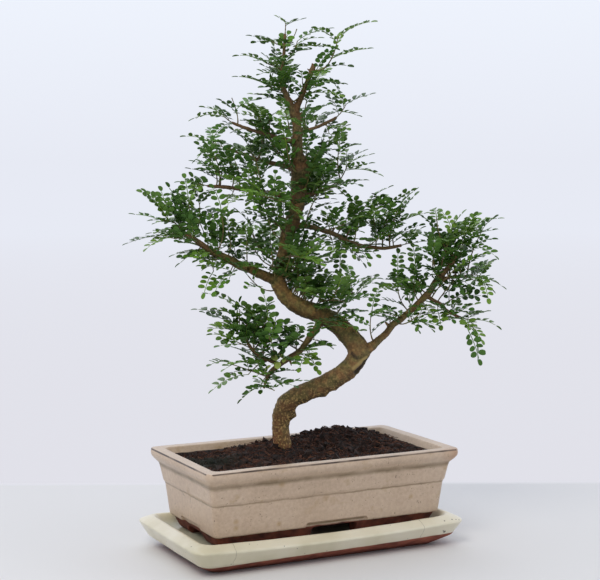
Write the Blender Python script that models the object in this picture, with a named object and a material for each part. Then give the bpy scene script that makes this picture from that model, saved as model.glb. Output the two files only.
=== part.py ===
"""A Chinese pepper bonsai in its rectangular glazed pot, standing on a glazed saucer.

Sizes are in millimetres from the ground under the middle of the saucer: +X along the pot,
+Y to its back, +Z up. The tree is laid out as seen from its best side, which faces the
pot's front left: across to the right, away from the viewer, and height above the ground.
"""

import math
import random

import bmesh
import bpy
from mathutils import Matrix, Vector, noise
from mathutils.bvhtree import BVHTree

MM = 0.001
CLEARANCE = 0.3
MERGE_DISTANCE = 0.001 * MM
FLAT_ANGLE = math.radians(1.0)

RIM_LENGTH, RIM_WIDTH, RIM_HEIGHT = 300.0, 168.0, 108.5
SAUCER_LENGTH, SAUCER_WIDTH, SAUCER_HEIGHT = 321.0, 179.0, 35.0
SAUCER_FLOOR = 22.0
# How far the lip of the long sides hangs at their middle, below the corners.
SAUCER_SAG = 3.8
SAUCER_SIDE_STEPS = 4
# The pot does not stand quite in the middle of its saucer.
SAUCER_SHIFT = (-3.5, 2.5)
# Two pockets in the saucer's underside, either side of a rib: x of both ends, half width, depth.
POCKET_X = (8.0, 117.0)
POCKET_HALF_WIDTH = 44.5
POCKET_DEPTH = 14.0
POCKET_CORNER = 8.0
CORNER_STEPS = 3

# Profiles run from the middle of the underside, up the outside and down to the inner floor.
# Each row holds the inset from the widest outline, the height, and the corner radius; the
# saucer's rows also hold the share of the lip's sag.
SAUCER_PROFILE = [
    (27.5, 0.0, 11.0, 0.0),
    (20.0, 4.5, 12.0, 0.0),
    (8.5, 12.0, 14.0, 0.0),
    (1.5, 25.0, 15.0, 0.85),
    (0.0, 27.5, 15.0, 1.0),
    (0.8, 29.5, 15.0, 1.0),
    (10.5, 34.6, 11.0, 1.0),
    (12.5, SAUCER_HEIGHT, 10.0, 1.0),
    (14.5, 34.2, 9.0, 1.0),
    (19.0, 27.5, 8.0, 0.4),
    (25.0, SAUCER_FLOOR, 7.0, 0.0),
]

FOOT_BOTTOM = SAUCER_FLOOR + CLEARANCE
BODY_BOTTOM = 36.5
POT_FLOOR = 46.5
WALL_INSET = 18.0
# The end walls lean in less than the long walls, by this much at their foot.
END_LEAN = 3.0
POT_OUTSIDE = [
    (42.0, BODY_BOTTOM, 9.0),
    (40.5, FOOT_BOTTOM + 1.5, 9.0),
    (39.0, FOOT_BOTTOM, 9.0),
    (29.0, FOOT_BOTTOM, 10.0),
    (26.0, FOOT_BOTTOM + 3.5, 10.0),
    (21.5, BODY_BOTTOM, 10.0),
    (19.0, BODY_BOTTOM, 10.0),
    (WALL_INSET, BODY_BOTTOM + 1.5, 11.0),
    (13.2, 71.5, 10.0),
    (11.6, 74.0, 9.5),
    (8.4, 89.0, 9.0),
    (7.3, 93.0, 9.0),
    (3.0, 97.5, 8.5),
    (0.6, 101.0, 8.0),
    (0.0, 104.0, 8.0),
    (0.4, RIM_HEIGHT, 8.0),
]
POT_INSIDE = [
    (12.2, RIM_HEIGHT, 6.0),
    (13.2, 107.5, 6.0),
    (16.5, 102.0, 6.0),
    (19.5, 93.5, 6.0),
    (25.0, 50.5, 6.0),
    (28.0, POT_FLOOR, 6.0),
]
FOOT_GAP_X = (-22.0, 33.0)
FOOT_GAP_Y = (-20.0, 24.0)
# The gap at each end is arched.
END_ARCH_TOP = 33.0
END_ARCH_ROUNDING = 10.0
APRON_ARCH_X = (-32.0, 44.0)
APRON_ARCH_Y = (-26.0, 26.0)
APRON_ARCH_TOP = 41.5
APRON_ARCH_DEPTH = 2.4
DRAIN_HOLE_RADIUS = 8.0
DRAIN_HOLE_X = 62.0

SOIL_EDGE_HEIGHT = 101.9
SOIL_LUMP = 1.5
SOIL_BANDS = (0.08, 0.22, 0.4, 0.6, 0.82, 1.0)
# Mounds of the soil: middle x and y, reach along x and y, rise.
SOIL_MOUNDS = [(-20.0, 6.0, 34.0, 26.0, 7.0), (62.0, 26.0, 60.0, 24.0, 10.0)]
HOLE_RADIUS = 11.0
HOLE_BOTTOM = 82.5

# Where the tree stands, and the height that its own heights are measured from.
TREE_FOOT = (-20.0, 6.0)
TREE_BASE = 4.5
TREE_TURN = math.radians(26.5)
TOP_OF_TREE = 577.5

# Across, away, height and radius of the wood, from the foot up.
TRUNK = [
    (-2, 0, 79, 8.4), (-2, 0, 94, 9.6), (-2, 0, 106, 9.8), (-4, 0, 117, 9.6),
    (-5, 0, 130, 9.4), (-4, -1, 142, 9.8), (1, -3, 153, 10.4), (10, -5, 161, 10.4),
    (20, -6, 166, 10.4), (31, -8, 171, 10.2), (42, -10, 176, 10.2), (53, -11, 182, 10.2),
    (64, -12, 189, 10.6), (73, -12, 197, 10.8), (79, -12, 207, 11.2), (78, -11, 218, 11.2),
    (71, -10, 228, 11.0), (62, -8, 237, 10.8), (52, -6, 245, 10.4), (40, -4, 251, 9.8),
    (28, -3, 256, 9.6), (15, -2, 261, 9.3), (4, 0, 269, 8.6), (-4, 2, 279, 7.9),
    (-6, 4, 291, 7.6), (-4, 5, 303, 7.5), (0, 6, 317, 7.5), (2, 6, 330, 7.6),
    (5, 6, 342, 7.8), (10, 6, 356, 8.0), (14, 5, 370, 8.0), (15, 4, 384, 8.0),
    (16, 3, 397, 8.4), (17, 2, 410, 8.4), (15, 1, 424, 6.6), (14, 0, 440, 5.4),
    (14, 0, 456, 5.0), (12, 0, 468, 5.2), (10, 0, 475, 4.4),
]
# Knobs, old cuts and hollows: across, away, height, reach, rise.
TRUNK_BUMPS = [
    (14, 0, 139, 7, 6.0), (43, -10, 163, 5, 1.8), (56, -11, 171, 4, 1.6),
    (90, -14, 212, 10, 2.4), (74, -22, 212, 6, 1.8), (84, -23, 203, 6, -3.0),
    (26, -2, 410, 9, 4.5), (10, -4, 412, 9, 2.5), (-14, 3, 284, 6, 1.6),
]
BRANCHES = {
    "leader": [
        (12, 0, 462, 4.2), (9, 0, 474, 4.0), (5, 0, 484, 3.4), (0, 2, 495, 2.8),
        (-3, 3, 508, 2.3), (0, 3, 524, 1.9), (1, 2, 542, 1.6), (2, 1, 554, 1.4),
    ],
    "fork": [
        (12, 0, 462, 4.4), (14, -1, 475, 3.8), (18, -3, 484, 3.3), (23, -6, 496, 3.0),
        (28, -8, 508, 2.8), (33, -9, 521, 2.8),
    ],
    "fork_stub": [(14, 0, 456, 3.2), (18, -2, 463, 2.8), (21, -3, 470, 2.4)],
    "left_main": [
        (-6, 4, 289, 5.8), (-16, 0, 292, 5.4), (-26, -4, 296, 5.2), (-37, -7, 302, 5.0),
        (-48, -10, 306, 4.8), (-60, -13, 313, 4.6), (-71, -16, 318, 4.2), (-80, -18, 323, 3.8),
        (-88, -20, 329, 3.2), (-97, -22, 336, 2.8), (-107, -24, 341, 2.4), (-113, -25, 349, 2.0),
    ],
    "mid_right": [
        (6, 6, 347, 3.4), (20, 7, 348, 3.1), (34, 10, 345, 2.9), (44, 13, 342, 2.8),
        (55, 16, 338, 2.8), (66, 19, 331, 2.8), (74, 21, 328, 2.7), (83, 23, 325, 2.5),
        (96, 25, 323, 2.2), (112, 26, 322, 1.9), (129, 26, 325, 1.6),
    ],
    "low_right": [
        (78, -11, 212, 5.0), (88, -12, 215, 4.7), (97, -10, 220, 4.2), (110, -7, 231, 3.8),
        (117, -5, 240, 3.6), (127, -3, 247, 3.4), (139, 0, 257, 3.4), (150, 3, 267, 3.6),
        (159, 6, 276, 3.8), (165, 8, 286, 3.6), (175, 10, 297, 3.2), (182, 12, 304, 3.0),
        (187, 14, 314, 2.4),
    ],
    "low_right_out": [
        (165, 8, 286, 2.4), (175, 11, 289, 2.1), (184, 14, 291, 1.9), (195, 18, 291, 1.7),
        (207, 22, 292, 1.5),
    ],
    "low_right_down": [
        (154, 4, 271, 2.2), (163, 4, 266, 2.0), (170, 4, 262, 1.9), (177, 2, 255, 1.8),
        (186, 0, 250, 1.7), (193, -2, 247, 1.5),
    ],
    "low_left": [
        (40, -4, 249, 4.6), (35, -8, 237, 4.1), (29, -12, 230, 3.7), (23, -17, 222, 3.5),
        (16, -22, 214, 3.3), (6, -26, 208, 3.1), (-6, -30, 200, 3.0), (-14, -33, 194, 2.8),
        (-19, -35, 189, 2.5),
    ],
    "low_left_stub": [(-17, -34, 191, 1.9), (-20, -35, 183, 1.5), (-22, -36, 176, 1.2)],
    "low_left_up": [
        (-6, -30, 201, 2.6), (-17, -30, 206, 2.3), (-26, -31, 210, 2.2), (-35, -32, 218, 2.0),
        (-41, -33, 229, 1.6),
    ],
    "up_left_front": [
        (14, 0, 438, 3.0), (-4, -6, 442, 2.5), (-23, -12, 448, 2.1), (-40, -17, 453, 1.8),
        (-55, -21, 459, 1.5),
    ],
    "up_left_back": [
        (16, 2, 409, 3.2), (-4, 10, 414, 2.7), (-28, 18, 419, 2.3), (-48, 25, 427, 1.9),
        (-64, 30, 432, 1.5),
    ],
    "mid_left": [
        (14, 4, 376, 3.4), (-6, -6, 382, 2.9), (-31, -15, 386, 2.5), (-57, -23, 390, 2.1),
        (-81, -30, 392, 1.6),
    ],
    "up_right": [
        (14, 0, 443, 2.4), (23, 2, 450, 2.1), (35, 5, 454, 1.9), (48, 8, 460, 1.7),
        (57, 10, 465, 1.4),
    ],
    "right": [
        (15, 4, 379, 2.8), (30, 12, 382, 2.3), (45, 19, 387, 2.0), (57, 25, 393, 1.7),
        (62, 28, 398, 1.4),
    ],
}
TRUNK_SIDES, BRANCH_SIDES, TWIG_SIDES = 10, 5, 4
TWIG_STEPS = 3

LEAF_LENGTH = 52.0
LEAF_HALF_WIDTH = 10.5
LEAF_THICKNESS = 0.7
LEAF_MARGIN = 0.8
END_LEAF_PAIRS, SIDE_LEAF_PAIRS = 3, 2
PETIOLE_SHARE = 0.17
END_LEAFLET_SHARE = 0.2
LEAFLET_REACH = (0.86, 1.0, 0.94, 0.8)
LEAFLET_RAISE = 0.16
PETIOLE_HALF_WIDTH = 0.55
TWIG_TIP_RADIUS = 0.8
TWIG_TAPER = 0.006
LEAF_TRIES = 40
SEAT_SHIFTS = (0.0, 0.015, -0.015, 0.03, -0.03, 0.045, -0.045)

# Leafy shoots: where on the wood each one is seated, as a share of that branch's length,
# and the tips of its leaves as across, away and height. The first tip ends the main twig.
SHOOTS = {
    "leader_top": ("leader", 1.0, [(-10, -5, 573), (25, 10, 570)]),
    "leader_wings": ("leader", 0.86, [(-40, -10, 550), (-25, 30, 547)]),
    "leader_right": ("leader", 0.74, [(55, 10, 560), (60, -20, 535), (30, 35, 540)]),
    "leader_left": ("leader", 0.6, [(-55, 5, 530), (-30, -35, 522)]),
    "leader_back": ("leader", 0.46, [(5, 60, 528), (-30, 55, 512)]),
    "leader_front": ("leader", 0.34, [(-55, -15, 508), (-15, -60, 500), (15, -55, 518)]),
    "leader_low": ("leader", 0.22, [(-40, 20, 490)]),
    "fork_tip": ("fork", 0.9, [(100, -20, 565), (72, 5, 560), (95, -35, 535)]),
    "fork_right": ("fork", 0.62, [(65, 25, 500), (50, 60, 520)]),
    "fork_front": ("fork", 0.42, [(45, -50, 500), (65, -25, 485)]),
    "up_right_tip": ("up_right", 1.0, [(100, 10, 490), (50, 20, 508), (85, 25, 465)]),
    "up_right_low": ("up_right", 0.72, [(60, -20, 430), (70, -40, 450)]),
    "up_right_back": ("up_right", 0.5, [(40, 60, 465), (65, 50, 450)]),
    "top_front": ("trunk", 0.93, [(30, -85, 472), (0, -80, 460), (50, -55, 478)]),
    "top_back": ("trunk", 0.9, [(-5, 85, 475), (30, 75, 482)]),
    "up_left_tip": ("up_left_front", 1.0, [(-90, -20, 475), (-100, -35, 460), (-75, -50, 440)]),
    "up_left_rise": ("up_left_front", 0.55, [(-45, -45, 478), (-20, -70, 470), (-30, 30, 478)]),
    "up_left_back_tip": ("up_left_back", 1.0, [(-115, 40, 445), (-100, 20, 415), (-85, 70, 455)]),
    "up_left_back_side": ("up_left_back", 0.6, [(-50, 95, 430), (-25, 85, 440), (-35, 70, 395)]),
    "mid_left_tip": ("mid_left", 1.0, [(-115, -40, 395), (-95, -60, 380), (-125, -15, 380)]),
    "mid_left_rise": ("mid_left", 0.86, [(-90, -20, 440), (-100, -40, 418)]),
    "mid_left_front": ("mid_left", 0.5, [(-60, -85, 368), (-70, -80, 405), (-35, -75, 415)]),
    "right_tip": ("right", 1.0, [(100, 30, 425), (110, 45, 400), (70, 60, 430)]),
    "right_low": ("right", 0.66, [(85, -10, 390), (75, 15, 370)]),
    "right_front": ("right", 0.35, [(50, -50, 412), (65, -55, 392)]),
    "mid_right_inner": ("mid_right", 0.33, [(45, -45, 362), (65, -30, 370)]),
    "mid_right_back": ("mid_right", 0.45, [(65, 60, 315), (90, 25, 300)]),
    "mid_right_rise": ("mid_right", 0.58, [(80, 5, 375), (95, -20, 365)]),
    "mid_right_crown": ("mid_right", 0.78, [(115, 50, 380), (95, 65, 375), (130, 60, 350)]),
    "mid_right_out": ("mid_right", 0.9, [(145, 15, 388), (158, 5, 362)]),
    "mid_right_tip": ("mid_right", 1.0, [(172, 20, 328), (150, 60, 340)]),
    "low_right_hang": ("low_right", 0.46, [(145, -25, 232), (165, 15, 230)]),
    "low_right_back": ("low_right", 0.52, [(115, 45, 290), (130, 70, 275)]),
    "low_right_front": ("low_right", 0.62, [(120, -15, 305), (95, -25, 280), (120, -50, 290)]),
    "low_right_rise": ("low_right", 0.8, [(145, -10, 360), (160, -50, 335)]),
    "low_right_crown": ("low_right", 0.92, [(170, 30, 365), (205, 45, 352), (180, 75, 330)]),
    "low_right_tip": ("low_right", 1.0, [(240, 10, 355), (210, 0, 362), (230, -20, 312)]),
    "low_right_out_tip": ("low_right_out", 1.0, [(245, 30, 275), (232, 60, 305), (222, -5, 262)]),
    "low_right_down_tip": ("low_right_down", 1.0, [(235, -10, 235), (210, -5, 200), (195, -50, 240)]),
    "low_left_tip": ("low_left", 1.0, [(-50, -40, 160), (-25, -70, 175)]),
    "low_left_side": ("low_left", 0.84, [(-80, -50, 172), (-65, -80, 200)]),
    "low_left_inner": ("low_left", 0.45, [(38, -48, 192), (15, -70, 198)]),
    "low_left_rise": ("low_left", 0.55, [(15, -60, 245), (-15, -5, 232)]),
    "low_left_up_tip": ("low_left_up", 1.0, [(-100, -30, 260), (-80, -60, 240), (-45, -35, 275)]),
    "left_tip": ("left_main", 1.0, [(-165, -30, 362), (-158, -15, 388), (-130, -50, 392)]),
    "left_out": ("left_main", 0.92, [(-170, -45, 330), (-145, -70, 325)]),
    "left_back": ("left_main", 0.84, [(-115, 30, 380), (-145, 20, 350)]),
    "left_hang": ("left_main", 0.74, [(-115, -35, 305), (-85, -70, 312)]),
    "left_rise": ("left_main", 0.5, [(-60, -30, 362), (-85, 0, 365), (-45, 30, 340)]),
    "left_down": ("left_main", 0.42, [(-75, -20, 282), (-75, -45, 275)]),
    "front_low": ("trunk", 0.665, [(35, -120, 315), (-10, -95, 330), (65, -70, 322)]),
    "front_mid": ("trunk", 0.785, [(-40, -120, 385), (15, -95, 395), (20, -80, 358)]),
    "back_low": ("trunk", 0.66, [(-30, 130, 345), (20, 110, 340), (-55, 90, 312)]),
    "back_mid": ("trunk", 0.82, [(55, 125, 420), (5, 110, 410), (70, 90, 388)]),
    "low_back": ("trunk", 0.455, [(105, 100, 282), (70, 110, 297), (45, 90, 280)]),
    "low_front": ("trunk", 0.5, [(95, -75, 275), (65, -105, 300), (15, -85, 285)]),
}


def to_world(across, away, height):
    """Place a point of the tree's own layout, in millimetres."""
    right = Vector((math.cos(TREE_TURN), -math.sin(TREE_TURN), 0.0))
    back = Vector((math.sin(TREE_TURN), math.cos(TREE_TURN), 0.0))
    return Vector((*TREE_FOOT, TREE_BASE + height)) + right * across + back * away


def material(name, colour, roughness):
    made = bpy.data.materials.new(name)
    made.use_nodes = True
    shader = made.node_tree.nodes["Principled BSDF"]
    shader.inputs["Base Color"].default_value = (*colour, 1.0)
    shader.inputs["Roughness"].default_value = roughness
    shader.inputs["Metallic"].default_value = 0.0
    made.diffuse_color = (*colour, 1.0)
    return made


def make_object(name, points, faces, finish=None):
    """Make an object in metres from points in millimetres."""
    mesh = bpy.data.meshes.new(name)
    mesh.from_pydata([Vector(p) * MM for p in points], [], faces)
    mesh.update()
    made = bpy.data.objects.new(name, mesh)
    bpy.context.scene.collection.objects.link(made)
    if finish:
        mesh.materials.append(finish)
    return made


def outline(half_x, half_y, corner, height, along_x=1, along_y=1):
    """A rectangle with round corners, anticlockwise, its straight sides cut into steps."""
    points = []
    for quarter, (sx, sy) in enumerate([(1, 1), (-1, 1), (-1, -1), (1, -1)]):
        middle = Vector((sx * (half_x - corner), sy * (half_y - corner), height))
        for step in range(CORNER_STEPS + 1):
            angle = math.pi / 2 * (quarter + step / CORNER_STEPS)
            points.append(middle + corner * Vector((math.cos(angle), math.sin(angle), 0)))
        start = points[-1]
        next_corner = [(-1, 1), (-1, -1), (1, -1), (1, 1)][quarter]
        end_middle = Vector(
            (next_corner[0] * (half_x - corner), next_corner[1] * (half_y - corner), height)
        )
        angle = math.pi / 2 * (quarter + 1)
        end = end_middle + corner * Vector((math.cos(angle), math.sin(angle), 0))
        steps = along_x if quarter % 2 == 0 else along_y
        points += [start.lerp(end, step / steps) for step in range(1, steps)]
    return points


def loft(rings):
    """Join closed rings of equal length in order, with a flat cap on the first and last."""
    count = len(rings[0])
    points = [point for ring in rings for point in ring]
    faces = [tuple(reversed(range(count)))]
    for level in range(len(rings) - 1):
        low, high = level * count, (level + 1) * count
        for step in range(count):
            after = (step + 1) % count
            faces.append((low + step, low + after, high + after, high + step))
    last = (len(rings) - 1) * count
    faces.append(tuple(range(last, last + count)))
    return points, faces


def merge_flat_faces(mesh):
    """Merge what lies in one plane, then cut the faces into triangles again."""
    form = bmesh.new()
    form.from_mesh(mesh)
    bmesh.ops.remove_doubles(form, verts=form.verts, dist=MERGE_DISTANCE)
    bmesh.ops.dissolve_limit(form, angle_limit=FLAT_ANGLE, verts=form.verts, edges=form.edges)
    bmesh.ops.triangulate(form, faces=form.faces)
    form.to_mesh(mesh)
    form.free()


def combine(body, others, operation, solver="EXACT"):
    """Join the other objects to the body, or cut them from it, and remove them."""
    tools = bpy.data.collections.new(body.name + "_tools")
    for other in others:
        for holder in list(other.users_collection):
            holder.objects.unlink(other)
        tools.objects.link(other)
    bpy.context.scene.collection.children.link(tools)
    change = body.modifiers.new("Boolean", "BOOLEAN")
    change.operation = operation
    change.solver = solver
    change.operand_type = "COLLECTION"
    change.collection = tools
    graph = bpy.context.evaluated_depsgraph_get()
    graph.update()
    result = bpy.data.meshes.new_from_object(body.evaluated_get(graph))
    result.name = body.name
    merge_flat_faces(result)
    body.modifiers.clear()
    body.data = result
    for other in others:
        bpy.data.objects.remove(other)
    bpy.data.collections.remove(tools)


def box(name, low, high, bevel=0.0):
    """A cutter between two corners, its edges rounded by the bevel."""
    form = bmesh.new()
    bmesh.ops.create_cube(form, size=1.0)
    low, high = Vector(low), Vector(high)
    for vert in form.verts:
        vert.co = Vector([a + (b - a) * (c + 0.5) for a, b, c in zip(low, high, vert.co)]) * MM
    if bevel:
        bmesh.ops.bevel(
            form, geom=form.edges[:], offset=bevel * MM, segments=3, profile=0.5, affect="EDGES"
        )
    mesh = bpy.data.meshes.new(name)
    form.to_mesh(mesh)
    form.free()
    made = bpy.data.objects.new(name, mesh)
    bpy.context.scene.collection.objects.link(made)
    return made


def saucer():
    half_x, half_y = SAUCER_LENGTH / 2, SAUCER_WIDTH / 2
    shift = Vector((*SAUCER_SHIFT, 0))
    rings = []
    for inset, height, corner, sagging in SAUCER_PROFILE:
        ring = outline(half_x - inset, half_y - inset, corner, height, along_x=SAUCER_SIDE_STEPS)
        for point in ring:
            point.z -= SAUCER_SAG * sagging * max(0.0, 1 - (point.x / (half_x - inset)) ** 2)
        rings.append([point + shift for point in ring])
    glaze = material("cream_glaze", (0.60, 0.57, 0.45), 0.35)
    body = make_object("saucer", *loft(rings), glaze)
    middle = sum(POCKET_X) / 2
    half = (POCKET_X[1] - POCKET_X[0]) / 2
    pockets = []
    for side in (-1, 1):
        rings = []
        for inset, height in ((-1.0, -5.0), (0.0, 0.0), (2.0, POCKET_DEPTH)):
            ring = outline(half - inset, POCKET_HALF_WIDTH - inset, POCKET_CORNER, height)
            rings.append([point + Vector((side * middle, 0, 0)) for point in ring])
        pockets.append(make_object("pocket", *loft(rings)))
    combine(body, pockets, "DIFFERENCE")
    return body


def end_lean(height):
    """How much further out the end walls stand at a height than the long walls."""
    return END_LEAN * min(1.0, (RIM_HEIGHT - height) / (RIM_HEIGHT - BODY_BOTTOM))


def pot():
    half_x, half_y = RIM_LENGTH / 2, RIM_WIDTH / 2
    rings = []
    for inset, height, corner in POT_OUTSIDE + POT_INSIDE:
        rings.append(outline(half_x - inset + end_lean(height), half_y - inset, corner, height))
    glaze = material("beige_glaze", (0.42, 0.34, 0.26), 0.4)
    body = make_object("pot", *loft(rings), glaze)
    low, high = FOOT_BOTTOM - 10, BODY_BOTTOM - 0.4
    cutters = [
        box("front_gap", (FOOT_GAP_X[0], -half_y, low), (FOOT_GAP_X[1], half_y, high), 4.0),
        box(
            "side_gap",
            (-half_x, FOOT_GAP_Y[0], low),
            (half_x, FOOT_GAP_Y[1], END_ARCH_TOP),
            END_ARCH_ROUNDING,
        ),
    ]
    reach = 12.0
    for side in (-1, 1):
        depth_y = side * (half_y - WALL_INSET - APRON_ARCH_DEPTH)
        depth_x = side * (half_x - WALL_INSET + END_LEAN - APRON_ARCH_DEPTH)
        y_low, y_high = sorted((depth_y, depth_y + side * reach))
        x_low, x_high = sorted((depth_x, depth_x + side * reach))
        cutters.append(
            box("arch_y", (APRON_ARCH_X[0], y_low, low), (APRON_ARCH_X[1], y_high, APRON_ARCH_TOP))
        )
        cutters.append(
            box("arch_x", (x_low, APRON_ARCH_Y[0], low), (x_high, APRON_ARCH_Y[1], APRON_ARCH_TOP))
        )
        form = bmesh.new()
        bmesh.ops.create_cone(
            form,
            segments=16,
            cap_ends=True,
            radius1=DRAIN_HOLE_RADIUS * MM,
            radius2=DRAIN_HOLE_RADIUS * MM,
            depth=30 * MM,
            matrix=Matrix.Translation((side * DRAIN_HOLE_X * MM, 0, POT_FLOOR * MM)),
        )
        mesh = bpy.data.meshes.new("drain")
        form.to_mesh(mesh)
        form.free()
        drain = bpy.data.objects.new("drain", mesh)
        bpy.context.scene.collection.objects.link(drain)
        cutters.append(drain)
    combine(body, cutters, "DIFFERENCE")
    return body


def soil_height(point):
    """Height of the soil at a point, level with its edge at the pot's wall."""
    half_x = RIM_LENGTH / 2 - POT_INSIDE[2][0]
    half_y = RIM_WIDTH / 2 - POT_INSIDE[2][0]
    to_wall = min(half_x - abs(point.x), half_y - abs(point.y))
    inward = min(1.0, max(0.0, to_wall / 14.0))
    rise = 0.0
    for x, y, reach_x, reach_y, height in SOIL_MOUNDS:
        rise += height * math.exp(-(((point.x - x) / reach_x) ** 2) - ((point.y - y) / reach_y) ** 2)
    lumps = noise.noise(Vector((point.x / 9, point.y / 9, 0.5))) * SOIL_LUMP * 2
    return SOIL_EDGE_HEIGHT + inward * (rise + lumps) + (1 - inward) * lumps * 0.3


def pot_inner_inset(height):
    """Inset of the pot's inner wall at a height, and its corner radius."""
    for (upper, top, corner), (lower, bottom, _) in zip(POT_INSIDE, POT_INSIDE[1:]):
        if height >= bottom:
            share = (height - bottom) / (top - bottom)
            return lower + (upper - lower) * share, corner
    return POT_INSIDE[-1][0], POT_INSIDE[-1][2]


def soil_ring(height):
    inset, corner = pot_inner_inset(height)
    gap = CLEARANCE + 0.05
    half_x = RIM_LENGTH / 2 - inset - gap + end_lean(height)
    half_y = RIM_WIDTH / 2 - inset - gap
    return outline(half_x, half_y, corner - gap, height, along_x=6, along_y=3)


def soil():
    across, away, _, _ = TRUNK[2]
    middle = to_world(across, away, 0.0)
    edge = soil_ring(SOIL_EDGE_HEIGHT)
    rings = []
    for height in (POT_FLOOR + CLEARANCE + 0.05, POT_INSIDE[-2][1], POT_INSIDE[-3][1]):
        rings.append(soil_ring(height))
    top = []
    for share in SOIL_BANDS:
        ring = []
        for point in edge:
            outward = Vector((point.x - middle.x, point.y - middle.y, 0))
            inner = middle + outward.normalized() * HOLE_RADIUS
            place = inner.lerp(Vector((point.x, point.y, 0)), share)
            height = soil_height(place) if share < 1 else SOIL_EDGE_HEIGHT
            ring.append(Vector((place.x, place.y, height)))
        top.append(ring)
    rings += reversed(top)
    for height in (TRUNK[2][2] + TREE_BASE - 1.0, HOLE_BOTTOM):
        ring = []
        for point in edge:
            outward = Vector((point.x - middle.x, point.y - middle.y, 0))
            place = middle + outward.normalized() * HOLE_RADIUS
            ring.append(Vector((place.x, place.y, height)))
        rings.append(ring)
    earth = material("potting_soil", (0.035, 0.02, 0.015), 0.95)
    return make_object("soil", *loft(rings), earth)


def smooth_path(points, steps):
    """A rounded line through points of across, away, height and radius, in world millimetres."""
    placed = [(to_world(*point[:3]), point[3]) for point in points]
    path = []
    for index in range(len(placed) - 1):
        before = placed[max(0, index - 1)]
        start, end = placed[index], placed[index + 1]
        after = placed[min(len(placed) - 1, index + 2)]
        for step in range(steps):
            t = step / steps
            weights = (
                -0.5 * t + t * t - 0.5 * t**3,
                1 - 2.5 * t * t + 1.5 * t**3,
                0.5 * t + 2 * t * t - 1.5 * t**3,
                -0.5 * t * t + 0.5 * t**3,
            )
            spot = Vector((0, 0, 0))
            for weight, (place, _) in zip(weights, (before, start, end, after)):
                spot += place * weight
            path.append((spot, start[1] + (end[1] - start[1]) * t))
    path.append(placed[-1])
    return path


def tube(path, sides, bumps=()):
    """A closed round bar along a path of points and radii, swollen near the bumps."""
    rings = []
    side = None
    for index, (spot, radius) in enumerate(path):
        before = path[max(0, index - 1)][0]
        after = path[min(len(path) - 1, index + 1)][0]
        ahead = (after - before).normalized()
        if side is None:
            side = ahead.orthogonal().normalized()
        side = (side - ahead * side.dot(ahead)).normalized()
        other = ahead.cross(side)
        ring = []
        for step in range(sides):
            angle = 2 * math.pi * step / sides
            outward = side * math.cos(angle) + other * math.sin(angle)
            point = spot + outward * radius
            for across, away, height, reach, rise in bumps:
                distance = (point - to_world(across, away, height)).length
                point = point + outward * rise * math.exp(-((distance / reach) ** 2))
            ring.append(point)
        rings.append(ring)
    return loft(rings)


def wood():
    """The trunk with its branches and stubs, grown together as one piece."""
    bark = material("bark", (0.13, 0.09, 0.045), 0.85)
    body = make_object("trunk", *tube(smooth_path(TRUNK, 1), TRUNK_SIDES, TRUNK_BUMPS), bark)
    limbs = []
    for name, points in BRANCHES.items():
        limbs.append(make_object(name, *tube(smooth_path(points, 1), BRANCH_SIDES), bark))
    combine(body, limbs, "UNION")
    return body


def branch_point(name, share):
    """The spot, heading and radius at a share of a branch's length."""
    points = TRUNK if name == "trunk" else BRANCHES[name]
    path = smooth_path(points, 4)
    lengths = [0.0]
    for (first, _), (second, _) in zip(path, path[1:]):
        lengths.append(lengths[-1] + (second - first).length)
    wanted = share * lengths[-1]
    for index in range(len(path) - 1):
        if lengths[index + 1] >= wanted - 1e-6:
            part = (wanted - lengths[index]) / (lengths[index + 1] - lengths[index])
            spot = path[index][0].lerp(path[index + 1][0], part)
            return spot, (path[index + 1][0] - path[index][0]).normalized(), path[index][1]
    return path[-1][0], (path[-1][0] - path[-2][0]).normalized(), path[-1][1]


def bow(start, control, end, steps):
    """A curve from start to end, leaving towards the control point."""
    points = []
    for step in range(steps + 1):
        t = step / steps
        points.append(start * (1 - t) ** 2 + control * 2 * t * (1 - t) + end * t * t)
    return points


def arched_rib(start, end, droop, shares):
    """Points, headings and upward normals along a rib that arches from start to end."""
    chord = end - start
    level = Vector((chord.x, chord.y, 0))
    if level.length < 1.0:
        level = Vector((1, 0, 0))
    level.normalize()
    pitch = math.atan2(chord.z, Vector((chord.x, chord.y, 0)).length)
    radius = chord.length / (2 * math.sin(droop / 2))
    first = pitch + droop / 2
    stations = []
    for share in shares:
        turned = first - droop * share
        along = radius * (math.sin(first) - math.sin(turned))
        lift = radius * (math.cos(turned) - math.cos(first))
        spot = start + level * along + Vector((0, 0, lift))
        ahead = level * math.cos(turned) + Vector((0, 0, math.sin(turned)))
        sideways = level.cross(Vector((0, 0, 1)))
        stations.append((spot, sideways, sideways.cross(ahead)))
    return stations


def stem_sections(stem, sideways):
    """Sections of a stem up to its leaf, turned to lie level with the leaf's first section."""
    sections = []
    for near, far in reversed(list(zip(stem, stem[1:]))):
        along = (far - near).normalized()
        sideways = (sideways - along * sideways.dot(along)).normalized()
        half = twig_radius((stem[-1] - near).length)
        sections.append((near, sideways, sideways.cross(along), half, half))
    return sections[::-1]


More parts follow.
